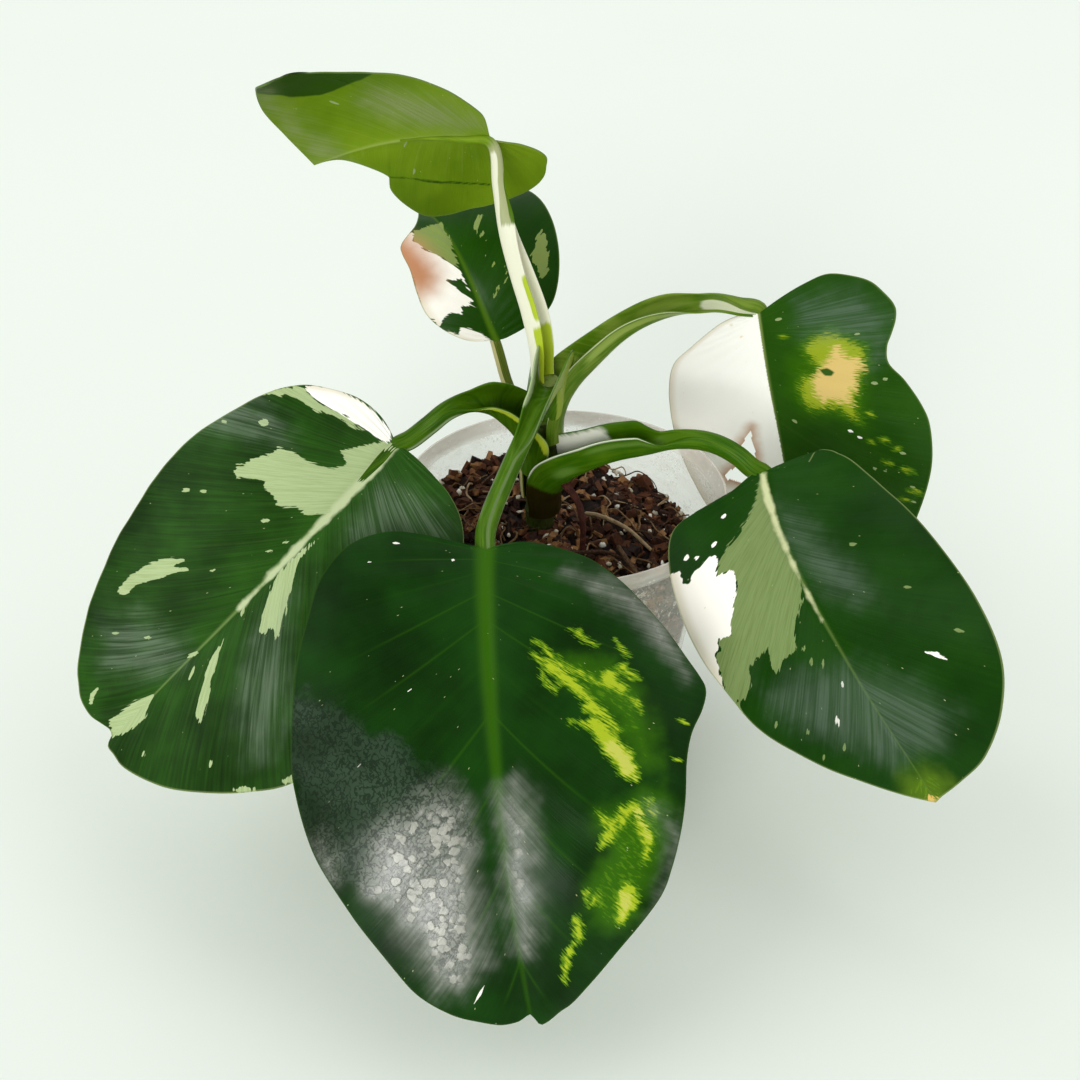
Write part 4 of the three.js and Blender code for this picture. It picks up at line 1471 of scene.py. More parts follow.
@dataclass
class PottingMix:
    """The mix: a damp bed, bark chips on top and against the wall, perlite, fibres and twigs."""

    sizes: PotSizes
    bed_finish: FibreFinish
    bark_finish: FibreFinish
    perlite_finish: FibreFinish
    fibre_finish: FibreFinish
    top_chips: Litter = Litter(900, (2.2, 1.5, 1.0), (7.5, 4.5, 2.8))
    wall_chips: Litter = Litter(700, (4, 3, 1.4), (13, 7, 3.6))
    top_grains: Litter = Litter(170, (1.2, 1.2, 1.0), (3.6, 3.4, 3.0))
    wall_grains: Litter = Litter(330, (1.8, 1.8, 1.6), (5.2, 4.6, 4.0))
    fibres: int = 70
    templates: int = 8
    seed: int = 41
    top_reach: float = 54.0
    wall_reach: float = 53.0
    fibre_reach: float = 50.0
    bed_reach: float = 52.0
    top_level: float = 84.0
    slope: tuple = (-0.14, 0.05)
    relief: float = 1.2
    strands: tuple = (
        ((-14, -21, 85.5), (-6, -18, 88.2), (6, -15.5, 87), (17, -14, 85.5), (28, -18, 80.5)),
        ((9, 15, 84), (14, 8, 87.5), (24, 2, 85.8), (33, -4, 80)),
        ((20, -12, 87), (24, -22, 86), (30, -34, 84), (34, -42, 80)),
    )

    def __post_init__(self) -> None:
        """Starts the random numbers."""
        self.random = random.Random(self.seed)

    def level(self, x: Array, y: Array) -> Array:
        """The mix's surface at a place."""
        relief = np.sin(0.21 * x + 1.1) * np.cos(0.17 * y - 0.4) + 0.5 * np.sin(0.43 * (x + y))
        return self.top_level + self.slope[0] * x + self.slope[1] * y + self.relief * relief

    def _spot(self, reach: float) -> Pair:
        """A random place on the surface, within a distance of the axis."""
        out, angle = reach * math.sqrt(self.random.random()), self.random.uniform(0, 2 * math.pi)
        return out * math.cos(angle), out * math.sin(angle)

    def _kept_in(self, points: Array) -> Array:
        """Presses points that stand out of the pot back against its wall and floor.

        Args:
            points: the points.

        Returns:
            The points, none of them outside.
        """
        level = np.clip(points[:, 2], self.sizes.floor + 0.3, None)
        reach = np.hypot(points[:, 0], points[:, 1])
        scale = np.minimum(1.0, (self.sizes.inside(level) - 0.05) / np.maximum(reach, 1e-6))
        return np.column_stack([points[:, 0] * scale, points[:, 1] * scale, level])

    def _bed(self) -> Made:
        """Models the bed of fine damp mix.

        Returns:
            The piece.
        """
        sides, rows_out, rows_up, rows_in = 180, 12, 60, 50
        bed, columns, rows = sheet_mesh(sides, rows_out + rows_up + rows_in)
        angle = columns * 2 * np.pi / sides
        bottom = self.sizes.floor + 0.6
        top = self.level(self.bed_reach * np.cos(angle), self.bed_reach * np.sin(angle)) - 1.5
        under = np.clip(rows / rows_out, 0, 1)
        climb = np.clip((rows - rows_out) / rows_up, 0, 1)
        inwards = np.clip((rows - rows_out - rows_up) / rows_in, 0, 1)
        z = between(bottom, top, climb)
        reach = (self.sizes.inside(z) - 1.2) * under * (1 - inwards)
        x, y = reach * np.cos(angle), reach * np.sin(angle)
        z = np.where(inwards > 0, between(z, self.level(x, y) - 1.0, ease(inwards, 0, 0.1)), z)
        points = np.column_stack([x, y, z])
        rough = np.array([noise.fractal(Vector(p) / 5.0, 0.6, 2.2, 4) for p in points])
        outwards = unit(np.column_stack([x, y, 0 * z]) + 1e-9)
        points = points + outwards * (1.6 * np.clip(rough, -1, 0.4))[:, None] * (climb * (1 - inwards) > 0)[:, None]
        points[:, 2] += np.where(inwards > 0, 1.8 * rough * ease(inwards, 0, 0.1), 0)
        move(bed, self._kept_in(points))
        store(bed, {"tint": np.clip(0.5 + 0.7 * rough, 0, 1)})
        bmesh.ops.remove_doubles(bed, verts=bed.verts, dist=1e-6)
        bmesh.ops.dissolve_degenerate(bed, edges=bed.edges, dist=1e-7)
        outward(bed)
        sharpen(bed, 80)
        return piece("mix_bed", bed, [self.bed_finish.material()], "potting_mix")

    def _template(self, rounded: bool) -> Mesh:
        """A chip or grain of unit size.

        Args:
            rounded: whether it is a grain.

        Returns:
            Its mesh, which is copied and dropped.
        """
        form = bmesh.new()
        if rounded:
            bmesh.ops.create_uvsphere(form, u_segments=8, v_segments=5, radius=0.5)
        else:
            bmesh.ops.create_cube(form, size=1.0)
            bmesh.ops.subdivide_edges(form, edges=form.edges, cuts=1, use_grid_fill=True)
            bmesh.ops.smooth_vert(form, verts=form.verts, factor=0.35, use_axis_x=True, use_axis_y=True)
        for vertex in form.verts:
            vertex.co += Vector([self.random.uniform(-0.09, 0.09) for _ in range(3)])
        return mesh_of("template", form)

    def _scattered(self, name: str, placements: list, rounded: bool, finish: FibreFinish) -> Made:
        """Copies templates to many places as one piece.

        Args:
            name: the piece's name.
            placements: the place, the turn as a matrix and the size of each copy.
            rounded: whether they are grains.
            finish: their finish.

        Returns:
            The piece.
        """
        templates = [self._template(rounded) for _ in range(self.templates)]
        corners = [np.array([v.co for v in t.vertices]) for t in templates]
        many, rows, tints = bmesh.new(), [], []
        for place, turn, size in placements:
            index = self.random.randrange(len(templates))
            many.from_mesh(templates[index])
            rows.append((corners[index] * size) @ np.array(turn).T + place)
            tints.append(np.full(len(corners[index]), self.random.random()))
        move(many, self._kept_in(np.vstack(rows)))
        store(many, {"tint": np.concatenate(tints)})
        bmesh.ops.recalc_face_normals(many, faces=many.faces)
        sharpen(many, 180 if rounded else 38)
        for template in templates:
            bpy.data.meshes.remove(template)
        return piece(name, many, [finish.material()], "potting_mix")

    def _on_top(self, litter: Litter, lift: float, tilt: float) -> list:
        """Places on the mix's surface.

        Args:
            litter: what lies there.
            lift: how far above the surface the middles lie.
            tilt: the largest tilt in radians.

        Returns:
            Placements.
        """
        rows = []
        for _ in range(litter.count):
            x, y = self._spot(self.top_reach)
            lean = [self.random.gauss(0, tilt) for _ in range(2)]
            turn = Euler((*lean, self.random.uniform(0, 2 * math.pi))).to_matrix()
            size = [self.random.uniform(a, b) for a, b in zip(litter.low, litter.high)]
            place = (x, y, float(self.level(x, y)) + lift + self.random.uniform(-1.5, 0.8))
            rows.append((np.array(place), turn, np.array(size)))
        return rows

    def _on_wall(self, litter: Litter) -> list:
        """Places against the inside of the wall.

        Args:
            litter: what lies there.

        Returns:
            Placements.
        """
        rows = []
        for _ in range(litter.count):
            angle, share = self.random.uniform(0, 2 * math.pi), self.random.random()
            top = float(self.level(self.wall_reach * math.cos(angle), self.wall_reach * math.sin(angle)))
            level = between(3.0, top, share)
            size = [self.random.uniform(a, b) for a, b in zip(litter.low, litter.high)]
            reach = float(self.sizes.inside(level)) - size[2] * self.random.uniform(0.35, 0.8)
            roll = Euler((0, 0, self.random.uniform(0, 2 * math.pi))).to_matrix()
            lean = Euler((self.random.gauss(0, 0.2), math.pi / 2 + self.random.gauss(0, 0.2), 0)).to_matrix()
            turn = Euler((0, 0, angle)).to_matrix() @ lean @ roll
            place = (reach * math.cos(angle), reach * math.sin(angle), level)
            rows.append((np.array(place), turn, np.array(size)))
        return rows

    def _fibres(self) -> Made:
        """Models the coir fibres, rootlets and twigs on the surface.

        Returns:
            The piece.
        """
        routes = [(through(route, centripetal=True), 0.95) for route in self.strands]
        for _ in range(self.fibres):
            x, y = self._spot(self.fibre_reach)
            heading, route = self.random.uniform(0, 2 * math.pi), []
            for step in range(6):
                lift = self.random.uniform(0.3, 3.4) if 0 < step < 5 else 0.2
                route.append((x, y, float(self.level(x, y)) + lift))
                heading += self.random.gauss(0, 0.5)
                x, y = x + 4.5 * math.cos(heading), y + 4.5 * math.sin(heading)
            routes.append((through(route, centripetal=True), self.random.uniform(0.22, 0.5)))
        bundle = bmesh.new()
        for curve, radius in routes:
            steps = np.full(19, radius) * np.linspace(1.0, 0.75, 19)
            rings = cord_rings(curve, steps, 6)
            kept = self._kept_in(rings.reshape(-1, 3)).reshape(rings.shape)
            strand = sleeve(kept, {"tint": np.full(rings.shape[:2], self.random.random())})
            mesh = mesh_of("strand", strand)
            bundle.from_mesh(mesh)
            bpy.data.meshes.remove(mesh)
        sharpen(bundle, 80)
        return piece("mix_fibres", bundle, [self.fibre_finish.material()], "potting_mix")

    def build(self) -> list[Made]:
        """Models the bed and all that lies in it.

        Returns:
            The pieces.
        """
        chips = self._on_top(self.top_chips, lift=0.4, tilt=0.45) + self._on_wall(self.wall_chips)
        grains = self._on_top(self.top_grains, lift=0.6, tilt=1.0) + self._on_wall(self.wall_grains)
        return [
            self._bed(),
            self._scattered("mix_bark", chips, False, self.bark_finish),
            self._scattered("mix_perlite", grains, True, self.perlite_finish),
            self._fibres(),
        ]


# The studio.


@dataclass(frozen=True)
class SoftLight:
    """A broad, even light from an azimuth, from the front towards the right, and an elevation in
    degrees, as wide across as its spread in degrees."""

    name: str
    azimuth: float
    elevation: float
    spread: float
    power: float

    def build(self) -> None:
        """Places the lamp."""
        azimuth, elevation = math.radians(self.azimuth), math.radians(self.elevation)
        toward = Vector((math.sin(azimuth), -math.cos(azimuth), math.tan(elevation))).normalized()
        lamp = bpy.data.lights.new(self.name, "SUN")
        lamp.angle, lamp.energy = math.radians(self.spread), self.power
        made = linked(self.name, lamp)
        made.location = toward * 2.0
        made.rotation_euler = toward.to_track_quat("Z", "Y").to_euler()


@dataclass
class Studio:
    """The pale floor, the soft light and the camera at the photograph's angle."""

    floor_finish: FloorFinish
    camera_place: tuple = (-0.0088, -0.4227, 0.3670)
    camera_tilt: float = 56.0
    focal_length: float = 45.0
    sensor: float = 36.0
    sky_colour: str = "#f4f7f5"
    sky_strength: float = 0.56
    lights: tuple = (
        SoftLight("top_back", 176, 56, 60, 0.65),
        SoftLight("key_left", -76, 44, 44, 0.6),
        SoftLight("back_right", 67, 53, 40, 0.3),
        SoftLight("low_front", -14, 17, 24, 1.6),
    )

    def build(self) -> None:
        """Makes the floor, the lights and the camera."""
        ground = bmesh.new()
        bmesh.ops.create_grid(ground, x_segments=2, y_segments=2, size=3.0)
        floor = linked("floor", mesh_of("floor", ground))
        floor.data.materials.append(self.floor_finish.material())
        for light in self.lights:
            light.build()
        world = bpy.data.worlds.new("pale")
        world.use_nodes = True
        sky = world.node_tree.nodes["Background"]
        sky.inputs["Color"].default_value = linear(self.sky_colour)
        sky.inputs["Strength"].default_value = self.sky_strength
        bpy.context.scene.world = world
        bpy.context.scene.view_settings.view_transform = "Standard"
        lens = bpy.data.cameras.new("photograph")
        lens.lens, lens.sensor_width = self.focal_length, self.sensor
        camera = linked("photograph", lens)
        camera.location = self.camera_place
        camera.rotation_euler = (math.radians(self.camera_tilt), 0.0, 0.0)
        bpy.context.scene.camera = camera


# The plant's own forms, in millimetres.

LEAF_FORMS = {
    "a": LeafForm(
        midrib=[(-26, -72, 127), (-26, -100, 118), (-22, -150, 85), (-11.7, -171.1, 28.6)],
        facing=[(0, -0.3, 1), (0, -1, 0.5)],
        rise=[(12, 12), (8, 8)],
        curl=[(50, 50), (40, 40)],
        lobe_curl=30,
        right=[(5, -1), (16, -3), (30, -5), (42, -1), (51, 9), (55, 22), (59, 41), (61, 60), (60, 72), (56, 89),
               (47, 107), (37, 124), (31, 133), (23, 139.5), (15, 143.5), (9, 146), (4, 146.2), (1.5, 145.2)],
        left=[(-5, -1), (-14, -1), (-24, 2), (-33, 6), (-42, 14), (-49, 23), (-55, 31), (-60.5, 40), (-64.5, 47),
              (-66, 52), (-64, 58.5), (-59.5, 66), (-57, 74), (-55, 86), (-52, 97), (-48, 107), (-44, 114), (-36, 122),
              (-26, 131), (-14, 142), (-9, 145), (-5, 147.6), (-2.5, 148.4), (-1.2, 146.5)],
    ),
    "b": LeafForm(
        midrib=[(-58, -22, 137), (-81, -50, 123), (-111, -80, 100), (-149.5, -91.6, 66.3)],
        facing=[(0.12, -0.52, 0.85), (-0.39, -0.64, 0.66)],
        rise=[(14, 14), (8, 8)],
        curl=[(50, 50), (45, 45)],
        lobe_curl=30,
        right=[(4, -2), (10, -4), (19, -4), (28, -1), (38, 5), (46, 16), (52, 31), (56, 45), (58, 62), (56, 85),
               (50, 104), (40, 121), (28, 134), (22, 138), (17, 140), (11, 140), (6, 138), (2, 136.4)],
        left=[(-4, 0), (-15, 2), (-29, 6), (-40, 13), (-49, 26), (-55, 43), (-59, 62), (-60, 82), (-56, 100),
              (-48, 111), (-38, 121), (-27, 130), (-13, 138), (-6, 139.5), (-2, 140)],
    ),
    "c": LeafForm(
        midrib=[(67.5, -26.5, 128.5), (68.5, -53.5, 112), (88.5, -107, 102.5), (113.5, -122, 66)],
        facing=[(-0.28, -0.51, 0.82), (-0.46, -0.89, 0.06)],
        rise=[(14, 14), (8, 8)],
        curl=[(50, 50), (45, 45)],
        lobe_curl=30,
        right=[(4, 1), (14, 7.5), (25, 10.5), (34.5, 14.5), (39, 24), (41, 39), (41, 52), (39.5, 65), (38.5, 77),
               (35, 87), (27, 100), (17.5, 111), (8, 121)],
        left=[(-4, 1.2), (-12, 3), (-15.5, 2.4), (-17.2, 0), (-19, -2.2), (-22, -2.2), (-26, 0), (-30, 6), (-34, 16),
              (-37, 26), (-40.5, 40), (-43.5, 60), (-45.5, 81), (-43.5, 97), (-36, 108), (-24, 117), (-12, 122),
              (-4, 125)],
    ),
    "d": LeafForm(
        midrib=[(72, 40, 156), (77, 37, 130), (89, 32, 89), (100, 26, 41)],
        facing=[(-0.35, -0.94, 0.04), (-0.49, -0.87, 0)],
        rise=[(10, 10), (8, 8)],
        curl=[(50, 70), (45, 60)],
        lobe_curl=30,
        right=[(4, -1), (14, 2), (28, 11), (37, 18), (42, 29), (44, 42), (44, 57), (42, 70), (38, 82), (30, 97),
               (18, 110), (6, 117)],
        left=[(-4, -0.6), (-8, -4), (-14, -8), (-21, -12), (-28, -14), (-36, -12.5), (-42, -10), (-46, -6), (-50, 0),
              (-50, 6), (-48, 12), (-46, 17), (-46, 24), (-51, 32), (-56, 43), (-58, 52), (-57, 66), (-52, 81),
              (-45, 94), (-33, 107), (-17, 117)],
    ),
    "e": LeafForm(
        midrib=[(-25, 20, 228), (-45, 18, 231), (-61, 15, 230), (-82, 8, 223)],
        facing=[(-0.1, 0.8, 0.6), (-0.1, 1, 0.1)],
        rise=[(12, 12), (2, 10)],
        curl=[(60, 40), (150, 60)],
        lobe_curl=20,
        right=[(1.6, -8), (7, -19), (14, -21), (21, -21), (29, -18), (37, -11), (43, -2), (45, 8), (42.5, 16),
               (38, 23), (32, 28.5), (25, 33.5), (19.5, 36), (15.5, 35.5), (13, 37), (9.5, 40.5), (5.5, 45), (2, 50),
               (0.5, 54.5)],
        left=[(-4, 1.5), (-10, 4), (-16, 10), (-20, 15), (-24, 22), (-26.5, 28), (-28.5, 36), (-32, 45), (-39, 54),
              (-48, 60), (-53, 63.5), (-51, 66.5), (-40, 67.5), (-26, 67.5), (-13, 64)],
    ),
    "f": LeafForm(
        midrib=[(-25, 34, 148), (-32, 36, 164), (-41, 46, 193), (-56, 74, 184)],
        facing=[(0.05, -0.75, 0.65), (-0.35, 0.3, 0.9)],
        rise=[(2, 10), (0, 6)],
        curl=[(110, 50), (110, 50)],
        lobe_curl=20,
        right=[(4, -0.5), (12, 0), (22, 2.5), (29, 10), (35, 23), (38, 37), (37, 49), (31, 58), (21, 65), (8, 69)],
        left=[(-4, 2), (-10, 5), (-16, 11), (-20, 19), (-20, 28), (-18.5, 38), (-18, 46), (-16, 50), (-8, 54),
              (-3, 61)],
    ),
}

STALK_FORMS = {
    "e": StalkForm(
        route=[(-7, 1, 149.5), (-7.8, 2, 160.6), (-11.2, 6, 173.4), (-15.3, 10, 184.6), (-19.6, 14, 198),
               (-22.4, 17.5, 213)],
        open=(1, -0.4, 0), foot_radius=4.9, clasp=0.92, radius=1.5,
        wings=[(0.02, 0), (0.2, 1.8), (0.5, 1.8), (0.61, 0)], spread=0.8,
    ),
    "d": StalkForm(
        route=[(-7.9, 2.9, 126), (-7.2, 2, 135), (-4, 4, 142.5), (1, 8, 147.6), (7.9, 12.5, 152),
               (19.2, 20, 158.2), (28.9, 26, 161.5), (38.6, 31, 162.9), (48.6, 35, 162.8), (56.6, 38, 161.6),
               (64.7, 40.4, 159)],
        open=(-1, -0.5, 0), foot_radius=7.6, clasp=0.42, radius=3.5,
        wings=[(0.02, 0), (0.2, 3.4), (0.5, 3), (0.66, 0)], spread=0.9,
    ),
    "a": StalkForm(
        route=[(-7.4, 1.6, 137), (-6.3, -0.4, 146), (-5.6, -5, 151.6), (-7.4, -11.6, 149.8), (-11.8, -20, 143.6),
               (-16.6, -30, 137.3), (-20.7, -41, 132.7), (-24.4, -53, 129.2), (-26.3, -63, 126.6)],
        open=(0.1, 1, 0), foot_radius=7.2, clasp=0.24, radius=3.3,
        wings=[(0.02, 0), (0.1, 11), (0.16, 10), (0.24, 5.5), (0.345, 0)], spread=1,
    ),
    "b": StalkForm(
        route=[(-8.2, 3.6, 112), (-8.4, 2.2, 121), (-12, -2, 131), (-18.8, -7, 140.5), (-25.3, -11, 146.4),
               (-32.6, -14.5, 148.6), (-39.9, -18, 147.2), (-46.6, -20.4, 142.6), (-53, -20.8, 137.4)],
        open=(1, -0.3, 0), foot_radius=7.8, clasp=0.55, radius=3.4,
        wings=[(0.02, 0), (0.2, 6.5), (0.41, 6.5), (0.46, 0)], spread=0.8,
    ),
    "f": StalkForm(
        route=[(-8.9, 4.6, 100), (-10.5, 7.5, 109), (-13.5, 13, 119.5), (-18, 21, 129), (-21.5, 27.5, 135.8),
               (-23.6, 32, 141.8)],
        open=(0.4, -1, 0), foot_radius=7, clasp=0.4, radius=2.1, wings=[(0.02, 0), (0.2, 1.5), (0.3, 0)], spread=0.8,
    ),
    "c": StalkForm(
        route=[(-8.6, 4.4, 95), (-8, 2.4, 103.5), (-4, -2, 112.5), (1.1, -6, 118), (8.7, -9.4, 123),
               (18.5, -11.4, 127.4), (28.2, -12, 130), (37.2, -12.9, 132.8), (45.6, -15.2, 134.1), (52.6, -18.6, 134),
               (59.2, -22, 131.6), (64.4, -24.2, 127.8)],
        open=(-1, 0.3, 0), foot_radius=7.8, clasp=0.36, radius=3.5,
        wings=[(0.02, 0), (0.2, 8.5), (0.42, 8), (0.49, 0)], spread=1.1,
    ),
}

# The marks of each leaf, as outlines in the flat leaf (across, along) from its stalk. The sheen outlines are painted
# sheen, and leaf a's leathery outline carries a painted dull sheen.

MARKS_A = {
    Tone.LIME: [
        [(-17.5, 40), (-19.5, 40.5), (-22, 43), (-25.5, 46.5), (-28.5, 50.5), (-30.5, 53), (-32.5, 56), (-35, 59),
         (-36.5, 61.5), (-37.5, 63.5), (-36, 63.5), (-34, 60.5), (-32, 58.5), (-29.5, 57), (-27.5, 56.5), (-27.5, 55),
         (-29, 54), (-27.5, 52.5), (-25, 50), (-22, 47.5), (-19, 44), (-17, 42.5)],
        [(-30, 58.5), (-32, 59.5), (-33.5, 61.5), (-35, 64), (-36.5, 65.5), (-37, 67), (-39, 68.5), (-40, 70.5),
         (-41, 73.5), (-41.5, 77), (-41, 79), (-38.5, 78), (-36.5, 76.5), (-35.5, 74), (-34, 71.5), (-32, 69),
         (-31.5, 67), (-30.5, 65), (-29.5, 63), (-28.5, 61.5), (-26.5, 60.5), (-23, 59.5), (-23.5, 59), (-26, 59.5),
         (-28, 60), (-29, 59)],
        [(-14, 33.5), (-17, 35), (-19, 37), (-20, 39.5), (-19, 40), (-18, 37.5), (-16.5, 35.5)],
        [(-13.5, 37.5), (-16, 39), (-17.5, 40.5), (-17.5, 41.5), (-15.5, 40)],
        [(-16, 42.5), (-16.5, 45), (-17, 46.5), (-18.5, 48), (-20.5, 49), (-20, 49.5), (-18, 48.5), (-16.5, 47),
         (-16, 45)],
        [(-21.5, 40), (-22.5, 41.5), (-24.5, 43), (-27.5, 44), (-29.5, 45.5), (-31.5, 47), (-33, 48), (-32.5, 48.5),
         (-30.5, 47.5), (-28.5, 46), (-26, 44.5), (-24, 43.5), (-22, 42)],
        [(-33.5, 47.5), (-34.5, 45), (-36.5, 44.5), (-38, 45), (-38, 47.5), (-40, 49), (-41, 50.5), (-41, 51.5),
         (-39, 52), (-37.5, 50.5), (-35.5, 50), (-33.5, 48.5)],
        [(-40.5, 51.5), (-41.5, 53.5), (-43.5, 54.5), (-44.5, 57), (-44.5, 59), (-44, 57.5), (-42.5, 55.5), (-41, 54)],
        [(-38.5, 43.5), (-40, 42.5), (-41.5, 42.5), (-41.5, 44.5), (-43.5, 45.5), (-45, 47.5), (-43.5, 47.5),
         (-41.5, 46.5), (-40.5, 45)],
        [(-25.5, 31), (-27.5, 31.5), (-28.5, 31), (-28, 32.5), (-28.5, 33.5), (-31, 34), (-30, 34.5), (-32, 35.5),
         (-33, 36.5), (-31.5, 36), (-29.5, 34.5), (-28, 33.5), (-27, 32)],
        [(-39, 35), (-39.5, 35.5), (-41, 38), (-42.5, 40), (-41.5, 39.5), (-40, 37.5)],
        [(-28.5, 86.5), (-30, 88.5), (-31.5, 89.5), (-33, 89.5), (-33.5, 88.5), (-34.5, 90), (-33, 91), (-32, 93),
         (-33, 94), (-32, 95.5), (-30.5, 95.5), (-29.5, 96.5), (-28, 97.5), (-28, 96), (-28.5, 94), (-30.5, 93),
         (-31, 92), (-30, 91), (-29, 89)],
        [(-33.5, 92), (-34.5, 90.5), (-34, 88), (-35, 88), (-35, 86), (-36.5, 87), (-37.5, 85.5), (-40, 85.5),
         (-41, 87), (-41.5, 89), (-40, 89.5), (-38.5, 88), (-37, 89.5), (-35.5, 91), (-34, 92.5)],
        [(-43.5, 84.5), (-44.5, 85), (-45, 87.5), (-45, 90.5), (-44, 89.5), (-43.5, 87)],
        [(-40, 88.5), (-41.5, 90.5), (-42.5, 93), (-43.5, 95.5), (-43.5, 98), (-42, 100), (-41, 103.5), (-40, 102),
         (-41, 99), (-40.5, 96.5), (-39.5, 94), (-39, 91.5)],
        [(-31, 112), (-33, 109), (-34.5, 108.5), (-36.5, 110.5), (-36.5, 114.5), (-36, 116.5), (-33.5, 118),
         (-32.5, 119), (-31, 120.5), (-30, 121), (-30, 118.5), (-30.5, 115.5)],
        [(-23.5, 111), (-25.5, 110.5), (-25.5, 114), (-24.5, 113), (-23, 113.5)],
        [(-21.5, 108.5), (-22.5, 109), (-22, 113), (-21.5, 111.5)],
        [(-17.5, 116.5), (-19, 116.5), (-19.5, 119.5), (-19, 123), (-17, 124), (-17, 120.5)],
        [(-17, 123.5), (-15.5, 125.5), (-16, 127), (-14, 128.5), (-14, 130.5), (-12.5, 133.5), (-12, 136.5),
         (-11.5, 134.5), (-12.5, 130), (-13, 127.5), (-15, 125)],
    ],
    Tone.TAN: [
        [(-33, 64.5), (-37, 67), (-39.5, 70), (-41, 74.5), (-41, 78.5), (-37.5, 77), (-35.5, 73), (-32.5, 69)],
        [(-38, 85.5), (-41, 87), (-42.5, 93.5), (-43, 97.5), (-41.5, 97.5), (-40, 91.5), (-38.5, 88)],
        [(-31.5, 110.5), (-36, 112), (-34, 117.5), (-31, 119)],
    ],
    Tone.GLOW: [
        [(-19, 40), (-27, 40), (-37, 42), (-44, 52), (-48, 65), (-48, 74), (-42, 75), (-36, 60), (-26, 48)],
        [(-28, 87), (-38, 84), (-48, 82), (-50, 92), (-42, 107), (-36, 120), (-28, 122), (-22, 118), (-22, 108),
         (-30, 99)],
    ],
    Tone.FROST: [
        [(62, 40), (50, 45), (36, 55), (22, 64), (10, 76), (8, 90), (30, 96), (38, 104), (42, 100), (50, 98), (60, 84),
         (64, 64)],
    ],
    Tone.SHEEN: [
        [(14, 73), (20, 74), (30, 79), (38, 84), (42, 90), (43, 102), (38, 108), (32, 117), (28, 128), (26, 133),
         (19, 134), (9, 127), (9, 114), (9, 102), (8, 90), (8, 80)],
        [(1, 78), (-6, 74), (-9, 82), (-10.5, 88), (-9.5, 94), (-8, 101), (-7.5, 112), (-6, 122), (-2, 126), (1, 122),
         (1, 114), (1, 100), (1, 86)],
        [(-45, 88), (-50, 93), (-52, 99), (-51, 106), (-45, 116), (-39, 124), (-34, 131), (-38, 123), (-43, 115),
         (-49, 105), (-50, 98), (-47, 92)],
        [(-25, 11), (-36, 13), (-47, 19), (-55, 29), (-61, 43), (-60, 48), (-55, 42), (-48, 31), (-40, 23), (-31, 16)],
        [(57, 84), (52, 84), (48, 90), (49, 97), (54, 96)],
    ],
}

MARKS_B = {
    Tone.CREAM: [
        [(37, 5), (31, 0), (26, -2), (21, -3), (15, -4), (8, -3), (4, -2), (2, 0), (2, 2), (6, 3), (10, 3), (14, 4),
         (18, 4), (23, 5), (28, 6), (32, 6)],
    ],
    Tone.SAGE: [
        [(48, 18), (44, 12), (40, 8), (38, 5), (32, 6), (28, 6), (23, 5), (18, 4), (12, 4), (10, 3), (11, 4), (15, 6),
         (21, 6), (26, 9), (32, 10), (34, 9), (38, 11), (43, 14)],
        [(36, 42), (33, 40), (32, 36), (28, 31), (28, 28), (24, 26), (17, 25), (10, 22), (7, 19), (8, 17), (12, 15),
         (9, 11), (6, 6), (3, 2), (0, 0), (-1, 6), (-1, 13), (-1, 20), (-0.6, 29), (0.6, 35), (4, 39), (6, 40),
         (10, 40), (15, 44), (16, 42), (22, 42), (24, 40), (27, 42), (32, 45)],
        [(38, 106), (38, 102), (38, 96), (35, 88), (32, 82), (26, 78), (26, 80), (28, 82), (26, 82), (22, 80),
         (26, 84), (28, 88), (31, 93), (34, 98), (34, 103)],
        [(-4, 42), (-3, 48), (-2, 54), (-2, 60), (-3, 64), (-6, 68), (-8, 73), (-12, 78), (-14, 77), (-14, 74),
         (-19, 76), (-18, 74), (-14, 68), (-10, 62), (-6, 56), (-4, 51), (-4, 46)],
        [(-3, 86), (-5, 89), (-5, 93), (-8, 98), (-12, 103), (-17, 109), (-20, 110), (-20, 108), (-16, 102), (-12, 98),
         (-8, 92)],
        [(0, 138), (4, 135), (4, 128), (3, 123), (0, 117), (-2, 120), (-4, 124), (-4, 129), (-2, 134)],
        [(16, 132), (15, 134), (13, 138), (14, 138), (17, 136), (17, 134)],
        [(-50, 108), (-46, 111), (-44, 114), (-49, 110)],
        [(-54, 98), (-53, 102), (-55, 102), (-56, 100)],
    ],
    Tone.RUST: [
        [(1.2, 0), (-1.8, 1), (-2.6, 12), (-2.4, 30), (-1.8, 50), (-0.9, 78), (0.4, 78), (0.9, 50), (1, 30), (1, 12)],
    ],
    Tone.SHEEN: [
        [(-3, 12), (-18, 10), (-34, 11), (-39, 18), (-26, 28), (-18, 42), (-8, 36)],
        [(-10, 58), (-22, 73), (-38, 84), (-46, 100), (-38, 107), (-23, 97), (-12, 82), (-8, 68)],
        [(35, 118), (26, 102), (4, 96), (-3, 102), (4, 114), (20, 128)],
        [(65, 30), (50, 18), (32, 18), (22, 24), (36, 33), (54, 42)],
    ],
}

